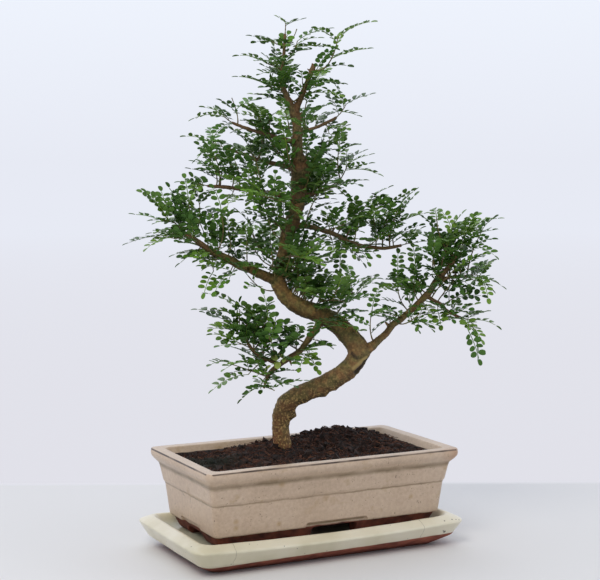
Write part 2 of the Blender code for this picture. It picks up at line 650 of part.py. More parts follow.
def leaf_form(stem, tip, droop, tilt, pairs, grow=0.0):
    """A feathered leaf on its stem: one thin arched blade, cut to the rib between leaflets."""
    length = (tip - stem[-1]).length
    last = 1.0 - END_LEAFLET_SHARE
    pitch = (last - PETIOLE_SHARE) / pairs
    width = min(LEAF_HALF_WIDTH, length * 0.24) + grow
    stalk = PETIOLE_HALF_WIDTH + grow * 0.5
    # The blade is listed as stations along the rib: share of its length, half width, on the rib.
    rows = [(0.12 if grow else 0.0, stalk, True), (PETIOLE_SHARE, stalk, True)]
    for index in range(pairs):
        reach = width * LEAFLET_REACH[index + (len(LEAFLET_REACH) - pairs) // 2]
        begin = PETIOLE_SHARE + pitch * index
        rows.append((begin + pitch * 0.22, reach * 0.94, False))
        rows.append((begin + pitch * 0.86, reach, False))
        rows.append((begin + pitch, stalk, True))
    rows.append((last + END_LEAFLET_SHARE * 0.4, width * 0.42, False))
    rows.append((1.0, 0.0, False))
    sections = []
    for (spot, sideways, up), (_, reach, on_rib) in zip(
        arched_rib(stem[-1], tip, droop, [row[0] for row in rows]), rows
    ):
        turned = sideways * math.cos(tilt) + up * math.sin(tilt)
        normal = up * math.cos(tilt) - sideways * math.sin(tilt)
        raised = spot if on_rib else spot + normal * reach * LEAFLET_RAISE
        sections.append((raised, turned, normal, reach, (LEAF_THICKNESS + grow) / 2))
    kinds = [row[2] for row in rows]
    if not grow:
        foot = stem_sections(stem, sections[0][1])
        sections = foot + sections
        kinds = [True] * len(foot) + kinds
    count = 2 * len(sections) - 1
    upper, lower = [], []
    for spot, turned, normal, reach, half in sections[:-1]:
        for layer, offset in ((upper, half), (lower, -half)):
            layer.append(spot - turned * reach + normal * offset)
            layer.append(spot + turned * reach + normal * offset)
    end, _, normal, _, half = sections[-1]
    upper.append(end + normal * half)
    lower.append(end - normal * half)
    on_rib = [index for index, kind in enumerate(kinds) if kind]
    top = []
    for near, far in zip(on_rib, on_rib[1:]):
        left, right, far_left, far_right = 2 * near, 2 * near + 1, 2 * far, 2 * far + 1
        top += [(left, right, far_right), (left, far_right, far_left)]
        if far - near == 3:
            top += [(left, far_left, left + 4), (left, left + 4, left + 2)]
            top += [(right, right + 2, right + 4), (right, right + 4, far_right)]
    left, right, point = 2 * on_rib[-1], 2 * on_rib[-1] + 1, count - 1
    top += [(left, right, right + 2), (left, right + 2, left + 2), (left + 2, right + 2, point)]
    rim = list(range(1, count - 1, 2)) + [point] + list(range(count - 3, -1, -2))
    faces = top + [(a + count, c + count, b + count) for a, b, c in top]
    for near, far in zip(rim, rim[1:] + rim[:1]):
        faces += [(near, near + count, far + count), (near, far + count, far)]
    return upper + lower, faces


def tree_of(points, faces):
    return BVHTree.FromPolygons(points, faces)


def clear_of(candidate, others):
    return not any(candidate.overlap(other) for other in others)


def twig_path(start, heading, end, sag=0.0):
    span = (end - start).length
    control = start + heading * span * 0.45 + Vector((0, 0, span * 0.08 - sag))
    return bow(start, control, end, TWIG_STEPS)


def tapered(points, grow=0.0):
    """A twig's points with their radii, grown everywhere but at its seat."""
    return [
        (point, 1.42 * twig_radius((points[-1] - point).length) + grow * min(1, index))
        for index, point in enumerate(points)
    ]


def twig_radius(to_end):
    """Half the thickness of a twig at a distance from the foot of its leaf."""
    return TWIG_TIP_RADIUS + TWIG_TAPER * to_end


def seat(wood_tree, name, share, towards):
    """The place on the bark where a shoot is seated, and the way out from it."""
    spot, ahead, radius = branch_point(name, share)
    if share >= 1.0:
        probe = spot + ahead * 4
    else:
        outward = towards - spot
        outward = (outward - ahead * outward.dot(ahead)).normalized()
        probe = spot + outward * (radius + 4)
    place, normal, _, _ = wood_tree.find_nearest(probe)
    return place + normal * CLEARANCE, normal


def lay_twig(rng, start, heading, tip, obstacles):
    """A twig towards a leaf's tip, bent clear of what is there already."""
    reach = tip - start
    leaf = min(LEAF_LENGTH, reach.length * 0.7)
    for attempt in range(LEAF_TRIES):
        shift = attempt * 0.6
        nudge = Vector([rng.uniform(-shift, shift) for _ in range(3)])
        end = tip - reach.normalized() * leaf + nudge + Vector((0, 0, 0.12 * leaf))
        path = twig_path(start, heading, end)
        probe = tube(tapered(path, 0.5), TWIG_SIDES)
        if clear_of(tree_of(*probe), obstacles):
            return path
    return None


def seated_twig(rng, wood_tree, branch, share, tip, obstacles):
    """The main twig of a shoot, its seat moved along the branch where it has no clear way."""
    for shift in SEAT_SHIFTS if share < 1.0 else (0.0,):
        start, heading = seat(wood_tree, branch, share + shift, tip)
        path = lay_twig(rng, start, heading, tip, obstacles)
        if path:
            return path
    raise ValueError("no clear way for a twig on " + branch)


def lay_leaf(rng, stem, tip, pairs, obstacles):
    """A leaf from its stem to its tip, turned until it is clear; None where it never is."""
    for attempt in range(LEAF_TRIES):
        shift = attempt * 0.5
        end = tip + Vector([rng.uniform(-shift, shift) for _ in range(3)])
        end.z = min(end.z, TOP_OF_TREE)
        droop = math.radians(rng.uniform(22, 58))
        tilt = math.radians(rng.uniform(-18, 18))
        probe = leaf_form(stem, end, droop, tilt, pairs, grow=LEAF_MARGIN)
        if clear_of(tree_of(*probe), obstacles):
            return stem, end, droop, tilt, pairs
    return None


def shoots(trunk):
    """The leafy shoots, each one body seated on the bark, none crossing another."""
    green = material("leaf_green", (0.03, 0.12, 0.03), 0.4)
    vertices = [v.co / MM for v in trunk.data.vertices]
    wood_tree = tree_of(vertices, [tuple(p.vertices) for p in trunk.data.polygons])
    rng = random.Random(11)
    obstacles = [wood_tree]
    twigs = {}
    for name, (branch, share, tips) in SHOOTS.items():
        tips = [to_world(*tip) for tip in tips]
        path = seated_twig(rng, wood_tree, branch, share, tips[0], obstacles)
        twigs[name] = [path]
        own = [tree_of(*tube(tapered(path, 0.4), TWIG_SIDES))]
        for tip in tips[1:]:
            nearest = min(range(1, len(path)), key=lambda i: (path[i] - tip).length)
            root = path[max(1, nearest - 1)]
            side = None
            if (tip - root).length > LEAF_LENGTH * 1.25:
                side = lay_twig(rng, root, (tip - root).normalized(), tip, obstacles)
            if side:
                own.append(tree_of(*tube(tapered(side[1:], 0.4), TWIG_SIDES)))
            twigs[name].append(side or [root])
        obstacles += own
    made = []
    missing = []
    for name, (branch, share, tips) in SHOOTS.items():
        leaves = []
        for index, (stem, tip) in enumerate(zip(twigs[name], tips)):
            pairs = SIDE_LEAF_PAIRS if index else END_LEAF_PAIRS
            found = lay_leaf(rng, stem, to_world(*tip), pairs, obstacles)
            if found is None:
                missing.append((name, tip))
                continue
            obstacles.append(tree_of(*leaf_form(*found, grow=0.4)))
            leaves.append(make_object(name, *leaf_form(*found), green))
        if len(leaves) > 1:
            combine(leaves[0], leaves[1:], "UNION", "MANIFOLD")
        made.append(leaves[0])
    print("shoots", len(made), "leaves without room", missing)
    return made


def main():
    for old in list(bpy.data.objects):
        bpy.data.objects.remove(old)
    saucer()
    pot()
    soil()
    trunk = wood()
    shoots(trunk)


main()
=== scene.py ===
import math
import random

import bpy
from mathutils import Matrix, Vector, kdtree, noise


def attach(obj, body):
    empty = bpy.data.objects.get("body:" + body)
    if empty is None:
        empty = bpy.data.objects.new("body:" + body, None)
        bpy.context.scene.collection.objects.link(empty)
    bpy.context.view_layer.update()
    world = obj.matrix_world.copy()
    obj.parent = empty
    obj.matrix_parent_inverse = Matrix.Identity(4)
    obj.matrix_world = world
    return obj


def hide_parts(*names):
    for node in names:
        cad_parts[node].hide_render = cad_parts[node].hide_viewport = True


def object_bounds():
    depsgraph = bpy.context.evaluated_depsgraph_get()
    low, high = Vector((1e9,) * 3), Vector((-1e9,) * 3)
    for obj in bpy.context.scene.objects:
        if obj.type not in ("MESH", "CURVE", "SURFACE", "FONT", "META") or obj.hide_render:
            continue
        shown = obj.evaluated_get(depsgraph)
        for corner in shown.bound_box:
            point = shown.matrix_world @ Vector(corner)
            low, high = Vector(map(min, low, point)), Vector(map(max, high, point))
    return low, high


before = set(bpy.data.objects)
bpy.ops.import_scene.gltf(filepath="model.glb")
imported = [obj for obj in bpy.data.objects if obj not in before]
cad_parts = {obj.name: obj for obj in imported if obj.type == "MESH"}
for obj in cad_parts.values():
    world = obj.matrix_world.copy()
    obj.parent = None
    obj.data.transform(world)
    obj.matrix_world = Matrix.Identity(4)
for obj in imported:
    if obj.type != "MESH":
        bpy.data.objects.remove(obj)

cadBox = [list(corner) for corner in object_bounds()]
mm = 0.001
treeTurn = math.radians(26.5)  # from the pot's long side to the tree's best side
treeFoot = Vector((-20.0, 6.0, 4.5))  # the tree's own heights are measured from here


def deselectAll():
    if bpy.context.object and bpy.context.object.mode != "OBJECT":
        bpy.ops.object.mode_set(mode="OBJECT")
    bpy.ops.object.select_all(action="DESELECT")


def makeActive(piece):
    deselectAll()
    piece.select_set(True)
    bpy.context.view_layer.objects.active = piece


def applyModifier(piece, kind, **settings):
    makeActive(piece)
    modifier = piece.modifiers.new(kind.title(), kind)
    for key, value in settings.items():
        setattr(modifier, key, value)
    bpy.ops.object.modifier_apply(modifier=modifier.name)


def cutAway(piece, cutters):
    for cutter in cutters:
        applyModifier(piece, "BOOLEAN", object=cutter, operation="DIFFERENCE", solver="EXACT")
        bpy.data.objects.remove(cutter)


def boxCutter(low, high, rounding=0.0):
    deselectAll()
    bpy.ops.mesh.primitive_cube_add(size=1, location=[(a + b) / 2 * mm for a, b in zip(low, high)])
    cutter = bpy.context.object
    cutter.scale = [(b - a) * mm for a, b in zip(low, high)]
    bpy.ops.object.transform_apply(location=True, rotation=True, scale=True)
    if rounding:
        applyModifier(cutter, "BEVEL", width=rounding * mm, segments=4)
    return cutter


def paint(piece, name, rule):  # one value for each point of the mesh, from its place
    layer = piece.data.attributes.new(name, "FLOAT", "POINT")
    for index, vertex in enumerate(piece.data.vertices):
        layer.data[index].value = rule(vertex.co)


def pushOut(piece, rule):  # moves each point along its normal, by millimetres
    moves = [vertex.normal * rule(vertex.co / mm) * mm for vertex in piece.data.vertices]
    for vertex, move in zip(piece.data.vertices, moves):
        vertex.co += move
    piece.data.update()


def finishPiece(piece, materials, slotName, *nodes, angle=None):
    if angle:
        makeActive(piece)
        bpy.ops.object.shade_smooth_by_angle(angle=math.radians(angle))
    piece.data.materials.clear()
    for material in materials:
        piece.data.materials.append(material)
    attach(piece, "root")
    if nodes:
        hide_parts(*nodes)
    return piece


def barFaces(first, rings, sides):  # of a closed bar through rings of points
    faces = []
    for start in range(first, first + (rings - 1) * sides, sides):
        for side in range(sides):
            a, b = start + side, start + (side + 1) % sides
            faces.append((a, b, b + sides, a + sides))
    last = first + (rings - 1) * sides
    return faces + [tuple(reversed(range(first, first + sides))), tuple(range(last, last + sides))]


def makeMesh(name, points, faces):
    mesh = bpy.data.meshes.new(name)
    mesh.from_pydata(points, [], faces)
    mesh.update()
    piece = bpy.data.objects.new(name, mesh)
    bpy.context.scene.collection.objects.link(piece)
    return piece


def toWorld(across, away, height):
    right = Vector((math.cos(treeTurn), -math.sin(treeTurn), 0.0))
    back = Vector((math.sin(treeTurn), math.cos(treeTurn), 0.0))
    return treeFoot + right * across + back * away + Vector((0, 0, height))


def linear(hexText):
    values = [int(hexText[place:place + 2], 16) / 255 for place in (1, 3, 5)]
    return [v / 12.92 if v <= 0.04045 else ((v + 0.055) / 1.055) ** 2.4 for v in values] + [1.0]


def repeats(spacing):  # of a pattern in one metre, from its real spacing in mm
    return 1 / (spacing * mm)


def addNode(tree, kind, inputs=None, stops=(), **settings):
    node = tree.nodes.new("ShaderNode" + kind)
    for key, value in settings.items():
        setattr(node, key, value)
    for index, (place, colour) in enumerate(stops):
        element = node.color_ramp.elements[index] if index < 2 else node.color_ramp.elements.new(1.0)
        element.position = place
        element.color = linear(colour) if isinstance(colour, str) else [colour] * 3 + [1.0]
    for socket, value in (inputs or {}).items():
        if isinstance(value, bpy.types.Node):
            value = value.outputs[2 if value.type == "MIX" else 0]
        if isinstance(value, bpy.types.NodeSocket):
            tree.links.new(value, node.inputs[socket])
        else:
            node.inputs[socket].default_value = linear(value) if isinstance(value, str) else value
    return node


def newMaterial(name, roughness):
    material = bpy.data.materials.new(name)
    material.use_nodes = True
    shader = material.node_tree.nodes["Principled BSDF"]
    shader.inputs["Roughness"].default_value = roughness
    return material.node_tree, shader, material


camera = {
    "place": (-0.7219, -1.4391, 0.4236), "yaw": 26.51, "pitch": 5.01, "roll": -0.2,
    "focalPixels": 1483.5, "imageWidth": 600, "sensor": 36.0,
}


def setCamera():
    yaw, pitch, roll = [math.radians(camera[key]) for key in ("yaw", "pitch", "roll")]
    ahead = Vector((math.sin(yaw) * math.cos(pitch), math.cos(yaw) * math.cos(pitch), -math.sin(pitch)))
    right = Vector((math.cos(yaw), -math.sin(yaw), 0.0))
    up = right.cross(ahead)
    right, up = right * math.cos(roll) + up * math.sin(roll), up * math.cos(roll) - right * math.sin(roll)
    lens = bpy.data.cameras.new("photoCamera")
    lens.sensor_width = camera["sensor"]
    lens.lens = camera["focalPixels"] / camera["imageWidth"] * camera["sensor"]
    holder = bpy.data.objects.new("photoCamera", lens)
    bpy.context.scene.collection.objects.link(holder)
    holder.matrix_world = Matrix((right, up, -ahead)).transposed().to_4x4()
    holder.location = camera["place"]
    bpy.context.scene.camera = holder


studio = {
    "floorColour": "#dcdbdb", "wallFoot": "#e1e1e9", "wallColour": "#e7eaf4", "wallTop": "#eff4fe",
    "floorRadius": 60.0, "wallFrom": 0.30, "wallBeyond": (1.6, 3.2),  # all in metres
    "skyStrength": 1.0, "roomStrength": 0.34,
    # Lamps: name, place, what it points at, size, power in watts, colour.
    "lamps": [
        ("keyLight", (-1.3, -1.2, 1.9), (0, 0, 0.25), 1.2, 25.0, "#fffaf2"),
        ("fillLight", (1.6, -1.3, 1.0), (0, 0, 0.25), 1.4, 3.0, "#ffffff"),
        ("rimLight", (0.2, 1.5, 1.7), (0, 0, 0.3), 1.2, 5.0, "#f2f4ff"),
    ],
}


def areaLight(name, place, target, size, power, colour):
    light = bpy.data.lights.new(name, "AREA")
    light.size = size
    light.energy = power
    light.color = linear(colour)[:3]
    holder = bpy.data.objects.new(name, light)
    bpy.context.scene.collection.objects.link(holder)
    holder.location = place
    holder.rotation_euler = (Vector(target) - Vector(place)).to_track_quat("-Z", "Y").to_euler()


def setStudio():
    # A pale paper floor that turns, behind the tree, into the even glow of the lit wall.
    deselectAll()
    bpy.ops.mesh.primitive_circle_add(vertices=64, radius=studio["floorRadius"], fill_type="NGON")
    floor = bpy.context.object
    floor.name = "studioFloor"
    tree, shader, material = newMaterial("matteStudioPaper", 0.85)
    place = addNode(tree, "TexCoord").outputs["Object"]
    across = (math.sin(treeTurn), math.cos(treeTurn), 0.0)
    depth = addNode(tree, "VectorMath", {0: place, 1: across}, operation="DOT_PRODUCT").outputs["Value"]
    away = addNode(tree, "VectorMath", {0: place}, operation="LENGTH").outputs["Value"]
    behind = addNode(tree, "MapRange", {0: depth, 1: studio["wallFrom"], 2: studio["wallFrom"] + 0.02})
    nearest, farthest = studio["wallBeyond"]
    beyond = addNode(tree, "MapRange", {0: away, 1: nearest, 2: farthest})
    wall = addNode(tree, "Math", {0: behind, 1: beyond}, operation="MAXIMUM")
    paper = addNode(tree, "Mix", {0: wall, 6: studio["floorColour"], 7: "#000000"}, data_type="RGBA")
    tree.links.new(paper.outputs[2], shader.inputs["Base Color"])
    dull = addNode(tree, "MapRange", {0: wall, 3: 0.5, 4: 0.0})
    tree.links.new(dull.outputs[0], shader.inputs["Specular IOR Level"])
    rising = addNode(tree, "MapRange", {0: depth, 1: studio["wallFrom"], 2: 7.0})
    shine = addNode(tree, "Mix", {0: rising, 6: studio["wallFoot"], 7: studio["wallColour"]},
                    data_type="RGBA")
    tree.links.new(shine.outputs[2], shader.inputs["Emission Color"])
    glow = addNode(tree, "MapRange", {0: wall, 4: studio["skyStrength"]})
    tree.links.new(glow.outputs[0], shader.inputs["Emission Strength"])
    floor.data.materials.append(material)
    world = bpy.data.worlds.new("studioLight")
    bpy.context.scene.world = world
    world.use_nodes = True
    back = world.node_tree.nodes["Background"]
    # Even behind the tree, dimmer from where the viewer stands, so that leaves keep their shade.
    tree = world.node_tree
    place = addNode(tree, "TexCoord").outputs["Generated"]
    lift = addNode(tree, "MapRange", {0: addNode(tree, "SeparateXYZ", {0: place}).outputs[2], 2: 0.12})
    shine = addNode(tree, "Mix", {0: lift, 6: studio["wallColour"], 7: studio["wallTop"]}, data_type="RGBA")
    tree.links.new(shine.outputs[2], back.inputs["Color"])
    front = addNode(tree, "VectorMath", {0: place, 1: [-part for part in across]}, operation="DOT_PRODUCT")
    dimmer = addNode(tree, "MapRange", {0: front.outputs["Value"], 1: 0.0, 2: 0.75,
                                        3: studio["skyStrength"], 4: studio["roomStrength"]})
    tree.links.new(dimmer.outputs[0], back.inputs["Strength"])
    for lamp in studio["lamps"]:
        areaLight(*lamp)
    scene = bpy.context.scene
    scene.view_settings.view_transform = "Standard"
    scene.view_settings.look = "None"
    print("studio", len(studio["lamps"]), "lamps")


def roundedProfile(rows, rounding, steps=2):  # softens each corner of a list of (inset, height)
    soft = [rows[0]]
    for before, here, after in zip(rows, rows[1:], rows[2:]):
        legs = []
        for other in (before, after):
            span = math.dist(other, here)
            share = min(rounding, span * 0.45) / span
            legs.append([h + (o - h) * share for h, o in zip(here, other)])
        for step in range(steps + 1):
            t = step / steps
            weights = ((1 - t) ** 2, 2 * t * (1 - t), t * t)
            soft.append([sum(w * p[axis] for w, p in zip(weights, (legs[0], here, legs[1])))
                         for axis in (0, 1)])
    soft.append(rows[-1])
    return soft


def growTray(name, halfLength, halfWidth, corner, rows, endLean=lambda height: 0.0):
    # A plate with rounded corners whose edge is drawn out row by row, then closed underneath.
    inset, height = rows[0]
    deselectAll()
    bpy.ops.mesh.primitive_plane_add(size=2, location=(0, 0, height * mm))
    piece = bpy.context.object
    piece.name = name
    piece.scale = ((halfLength - inset + endLean(height)) * mm, (halfWidth - inset) * mm, 1)
    bpy.ops.object.transform_apply(location=True, rotation=True, scale=True)
    bpy.ops.object.mode_set(mode="EDIT")
    bpy.ops.mesh.select_all(action="SELECT")
    bpy.ops.mesh.bevel(offset=corner * mm, segments=6, affect="VERTICES")
    bpy.ops.mesh.delete(type="ONLY_FACE")
    bpy.ops.object.mode_set(mode="OBJECT")
    for edge in piece.data.edges:
        ends = [piece.data.vertices[index].co for index in edge.vertices]
        edge.select = (ends[0] - ends[1]).length > 40 * mm
    bpy.ops.object.mode_set(mode="EDIT")
    bpy.ops.mesh.subdivide(number_cuts=23)
    bpy.ops.mesh.select_all(action="SELECT")
    bpy.ops.mesh.edge_face_add()
    bpy.ops.mesh.select_all(action="SELECT")
    for (lastInset, lastHeight), (inset, height) in zip(rows, rows[1:]):
        bpy.ops.mesh.extrude_edges_move(
            TRANSFORM_OT_translate={"value": (0, 0, (height - lastHeight) * mm)}
        )
        bpy.ops.transform.resize(value=(
            (halfLength - inset + endLean(height)) / (halfLength - lastInset + endLean(lastHeight)),
            (halfWidth - inset) / (halfWidth - lastInset), 1,
        ), center_override=(0, 0, height * mm))
    bpy.ops.mesh.edge_face_add()
    bpy.ops.mesh.select_all(action="SELECT")
    bpy.ops.mesh.normals_make_consistent(inside=False)
    bpy.ops.object.mode_set(mode="OBJECT")
    return piece


potPlan = {
    "halfLength": 150.0, "halfWidth": 84.0, "rimHeight": 108.5, "corner": 6.0, "edgeRounding": 1.1,
    "bodyBottom": 36.5, "footBottom": 22.3, "wallInset": 18.0, "endLean": 3.0, "soilDepth": 46.5,
    "footGapX": (-22.0, 33.0), "footGapY": (-20.0, 24.0), "endGapTop": 33.0, "gapRounding": (4.0, 10.0),
    "archX": (-32.0, 44.0), "archY": (-26.0, 26.0), "archTop": 42.5, "archDepth": 3.4,
    "archRounding": (4.5, 2.4), "cutReach": 12.0, "drainX": 62.0, "drainRadius": 8.0, "drainCut": 30.0,
    # The walls waver by this much, in waves of this length, from this height up.
    "waver": 0.3, "waverLength": 45.0, "waverFrom": 26.0, "waverFade": 20.0,
    # Where the rim's outer edge is worn, and where painted shade runs along the top of each arch's recess.
    "wornFrom": 106.2, "wornWidth": 1.3, "archShadeFrom": 38.2, "archShadeWidth": 0.6,
    "glazeFoot": (37.2, 36.6),  # glazed above the first height, bare clay below the second
    # Inset and height: up the inside from its floor, over the rim, down the outside, round the foot.
    "profile": [
        (28.0, 46.5), (25.0, 50.5), (19.5, 93.5), (16.5, 102.0), (13.2, 107.5), (12.2, 108.5),
        (0.4, 108.5), (0.0, 104.0), (0.6, 101.0), (3.0, 97.5), (7.3, 93.0), (8.4, 89.0),
        (11.6, 74.0), (13.2, 71.5), (18.0, 38.0), (19.0, 36.5), (21.5, 36.5), (26.0, 25.8),
        (29.0, 22.3), (39.0, 22.3), (40.5, 23.8), (42.0, 36.5),
    ],
    "scorch": (146.0, -83.0, 102.0),  # middle of a scorched corner
    # Marks in the glaze: x, y, z and radius.
    "chips": [
        (-135.5, -65.7, 56, 0.9), (73.7, -74.5, 83.7, 0.8), (73.7, -74.2, 82.2, 0.7), (77, -66.4, 41, 0.8),
        (105, -68, 51.5, 0.8), (105.8, -67.7, 49.5, 0.7), (123, -70, 65.7, 0.7), (-130.5, -74, 81, 0.6),
    ],
    "scratches": [
        (-138.3, 21, 71.2, 0.8), (-138.2, 18, 70.4, 0.7), (-138.1, 15.5, 69.6, 0.8), (-138, 13, 68.4, 1.0),
        (-138, 10.8, 67.4, 0.8), (-137.9, -6.8, 68.2, 0.6), (-137.7, -6, 66.2, 0.7),
        (-137.5, -5.6, 64.2, 0.7), (-137.3, -5.2, 62.4, 0.6),
    ],
    "stains": [
        (-112.6, -68, 53, 4), (-112, -67, 46, 4), (-63, -67, 45, 4), (-63.5, -75.8, 89, 5), (96, -68, 58, 4),
    ],
}


def makePot():
    plan = potPlan
    rows = roundedProfile(plan["profile"], plan["edgeRounding"])
    halfX, halfY = plan["halfLength"], plan["halfWidth"]
    wallHeight = plan["rimHeight"] - plan["bodyBottom"]
    # The end walls lean in less than the long ones.
    lean = lambda height: plan["endLean"] * min(1.0, (plan["rimHeight"] - height) / wallHeight)
    pot = growTray("glazedPot", halfX, halfY, plan["corner"], rows, lean)
    low, high = plan["footBottom"] - 10, plan["bodyBottom"] - 0.4
    gapX, gapY = plan["footGapX"], plan["footGapY"]
    archX, archY, archTop = plan["archX"], plan["archY"], plan["archTop"]
    alongRounding, endRounding = plan["gapRounding"]
    cutters = [
        boxCutter((gapX[0], -halfY, low), (gapX[1], halfY, high), alongRounding),
        boxCutter((-halfX, gapY[0], low), (halfX, gapY[1], plan["endGapTop"]), endRounding),
    ]
    recess = halfY - plan["wallInset"] - plan["archDepth"]
    endRecess = halfX - plan["wallInset"] + plan["endLean"] - plan["archDepth"]
    alongRounding, endRounding = plan["archRounding"]
    for side in (-1, 1):
        yLow, yHigh = sorted((side * recess, side * recess + side * plan["cutReach"]))
        xLow, xHigh = sorted((side * endRecess, side * endRecess + side * plan["cutReach"]))
        cutters.append(boxCutter((archX[0], yLow, low), (archX[1], yHigh, archTop), alongRounding))
        cutters.append(boxCutter((xLow, archY[0], low), (xHigh, archY[1], archTop), endRounding))
        deselectAll()
        bpy.ops.mesh.primitive_cylinder_add(
            vertices=40, radius=plan["drainRadius"] * mm, depth=plan["drainCut"] * mm,
            location=(side * plan["drainX"] * mm, 0, plan["soilDepth"] * mm),
        )
        cutters.append(bpy.context.object)
    cutAway(pot, cutters)
    pushOut(pot, lambda p: plan["waver"] * noise.noise(p / plan["waverLength"]) * min(
        1.0, max(0.0, (p.z - plan["waverFrom"]) / plan["waverFade"])))
    paint(pot, "rimEdge", lambda p: float(
        p.z > plan["wornFrom"] * mm
        and min(halfX * mm - abs(p.x), halfY * mm - abs(p.y)) < plan["wornWidth"] * mm))
    # Painted shade along the top inner edge of each arch's recess.
    paint(pot, "archShade", lambda p: float(
        p.z > plan["archShadeFrom"] * mm and archX[0] - 1 < p.x / mm < archX[1] + 1
        and abs(abs(p.y) / mm - recess) < plan["archShadeWidth"]))
    print("pot", len(pot.data.vertices))
    return finishPiece(pot, [beigeGlaze()], "beige_glaze", "pot", angle=32)


saucerPlan = {
    "halfLength": 160.5, "halfWidth": 89.5, "corner": 11.0, "shift": (-3.5, 2.5), "sag": 3.8,
    "edgeRounding": 1.6, "pocketX": (8.0, 117.0), "pocketHalfWidth": 44.5, "pocketDepth": 14.0,
    "pocketRounding": 4.0, "waver": 0.4, "waverLength": 38.0, "waverFrom": 3.0, "waverFade": 8.0,
    # The sag grows over these heights: inside the crest of the rim, then outside it.
    "crestInset": 13.5, "sagInside": (22.0, 34.2), "sagOutside": (12.0, 27.5),
    "glazeFoot": (12.4, 11.6),  # glazed above the first height, bare clay below the second
    "profile": [
        (25.0, 22.0), (19.0, 27.5), (14.5, 34.2), (12.5, 35.0), (10.5, 34.6),
        (0.8, 29.5), (0.0, 27.5), (1.5, 25.0), (8.5, 12.0), (20.0, 4.5), (27.5, 0.0),
    ],
    "pinholes": [  # x, y, z and radius
        (-159.4, -61, 31.2, 0.8), (130.2, -82.9, 30, 0.9), (139.9, -82.8, 30.4, 0.9),
        (144.6, -83.5, 30, 0.8), (148.2, -84, 29.3, 0.8), (131, -81.5, 17.5, 1.7), (129, -83, 18.5, 1.2),
    ],
    "hairlines": (-120.5, 102.0),  # where fine cracks cross the front rim
}


def makeSaucer():
    plan = saucerPlan
    halfX, halfY = plan["halfLength"], plan["halfWidth"]
    rows = roundedProfile(plan["profile"], plan["edgeRounding"], 3)
    saucer = growTray("glazedSaucer", halfX, halfY, plan["corner"], rows)
    for vertex in saucer.data.vertices:  # the lip of the long sides hangs a little at its middle
        x, y, z = vertex.co / mm
        inside = min(halfX - abs(x), halfY - abs(y)) > plan["crestInset"]
        low, high = plan["sagInside"] if inside else plan["sagOutside"]
        share = min(1.0, max(0.0, (z - low) / (high - low)))
        vertex.co.z -= plan["sag"] * share * max(0.0, 1 - (x / halfX) ** 2) * mm
    shift = Vector((*plan["shift"], 0)) * mm
    saucer.data.transform(Matrix.Translation(shift))
    wide, deep = plan["pocketHalfWidth"], plan["pocketDepth"]
    nearX, farX = plan["pocketX"]
    cutAway(saucer, [
        boxCutter((nearX, -wide, -deep), (farX, wide, deep), plan["pocketRounding"]),
        boxCutter((-farX, -wide, -deep), (-nearX, wide, deep), plan["pocketRounding"]),
    ])
    pushOut(saucer, lambda p: plan["waver"] * noise.noise(p / plan["waverLength"]) * min(
        1.0, max(0.0, (p.z - plan["waverFrom"]) / plan["waverFade"])))
    paint(saucer, "inward", lambda p: min(
        halfX - abs(p.x - shift.x) / mm, halfY - abs(p.y - shift.y) / mm))
    print("saucer", len(saucer.data.vertices))
    return finishPiece(saucer, [creamGlaze()], "cream_glaze", "saucer", angle=40)


def nearestSpot(tree, place, spots):  # how far the nearest spot is, counted in its own radius
    nearest = None
    for x, y, z, radius in spots:
        away = addNode(tree, "VectorMath", {0: place, 1: (x * mm, y * mm, z * mm)}, operation="DISTANCE")
        share = addNode(tree, "Math", {0: away.outputs["Value"], 1: radius * mm}, operation="DIVIDE")
        nearest = addNode(tree, "Math", {0: nearest, 1: share}, operation="MINIMUM") if nearest else share
    return nearest


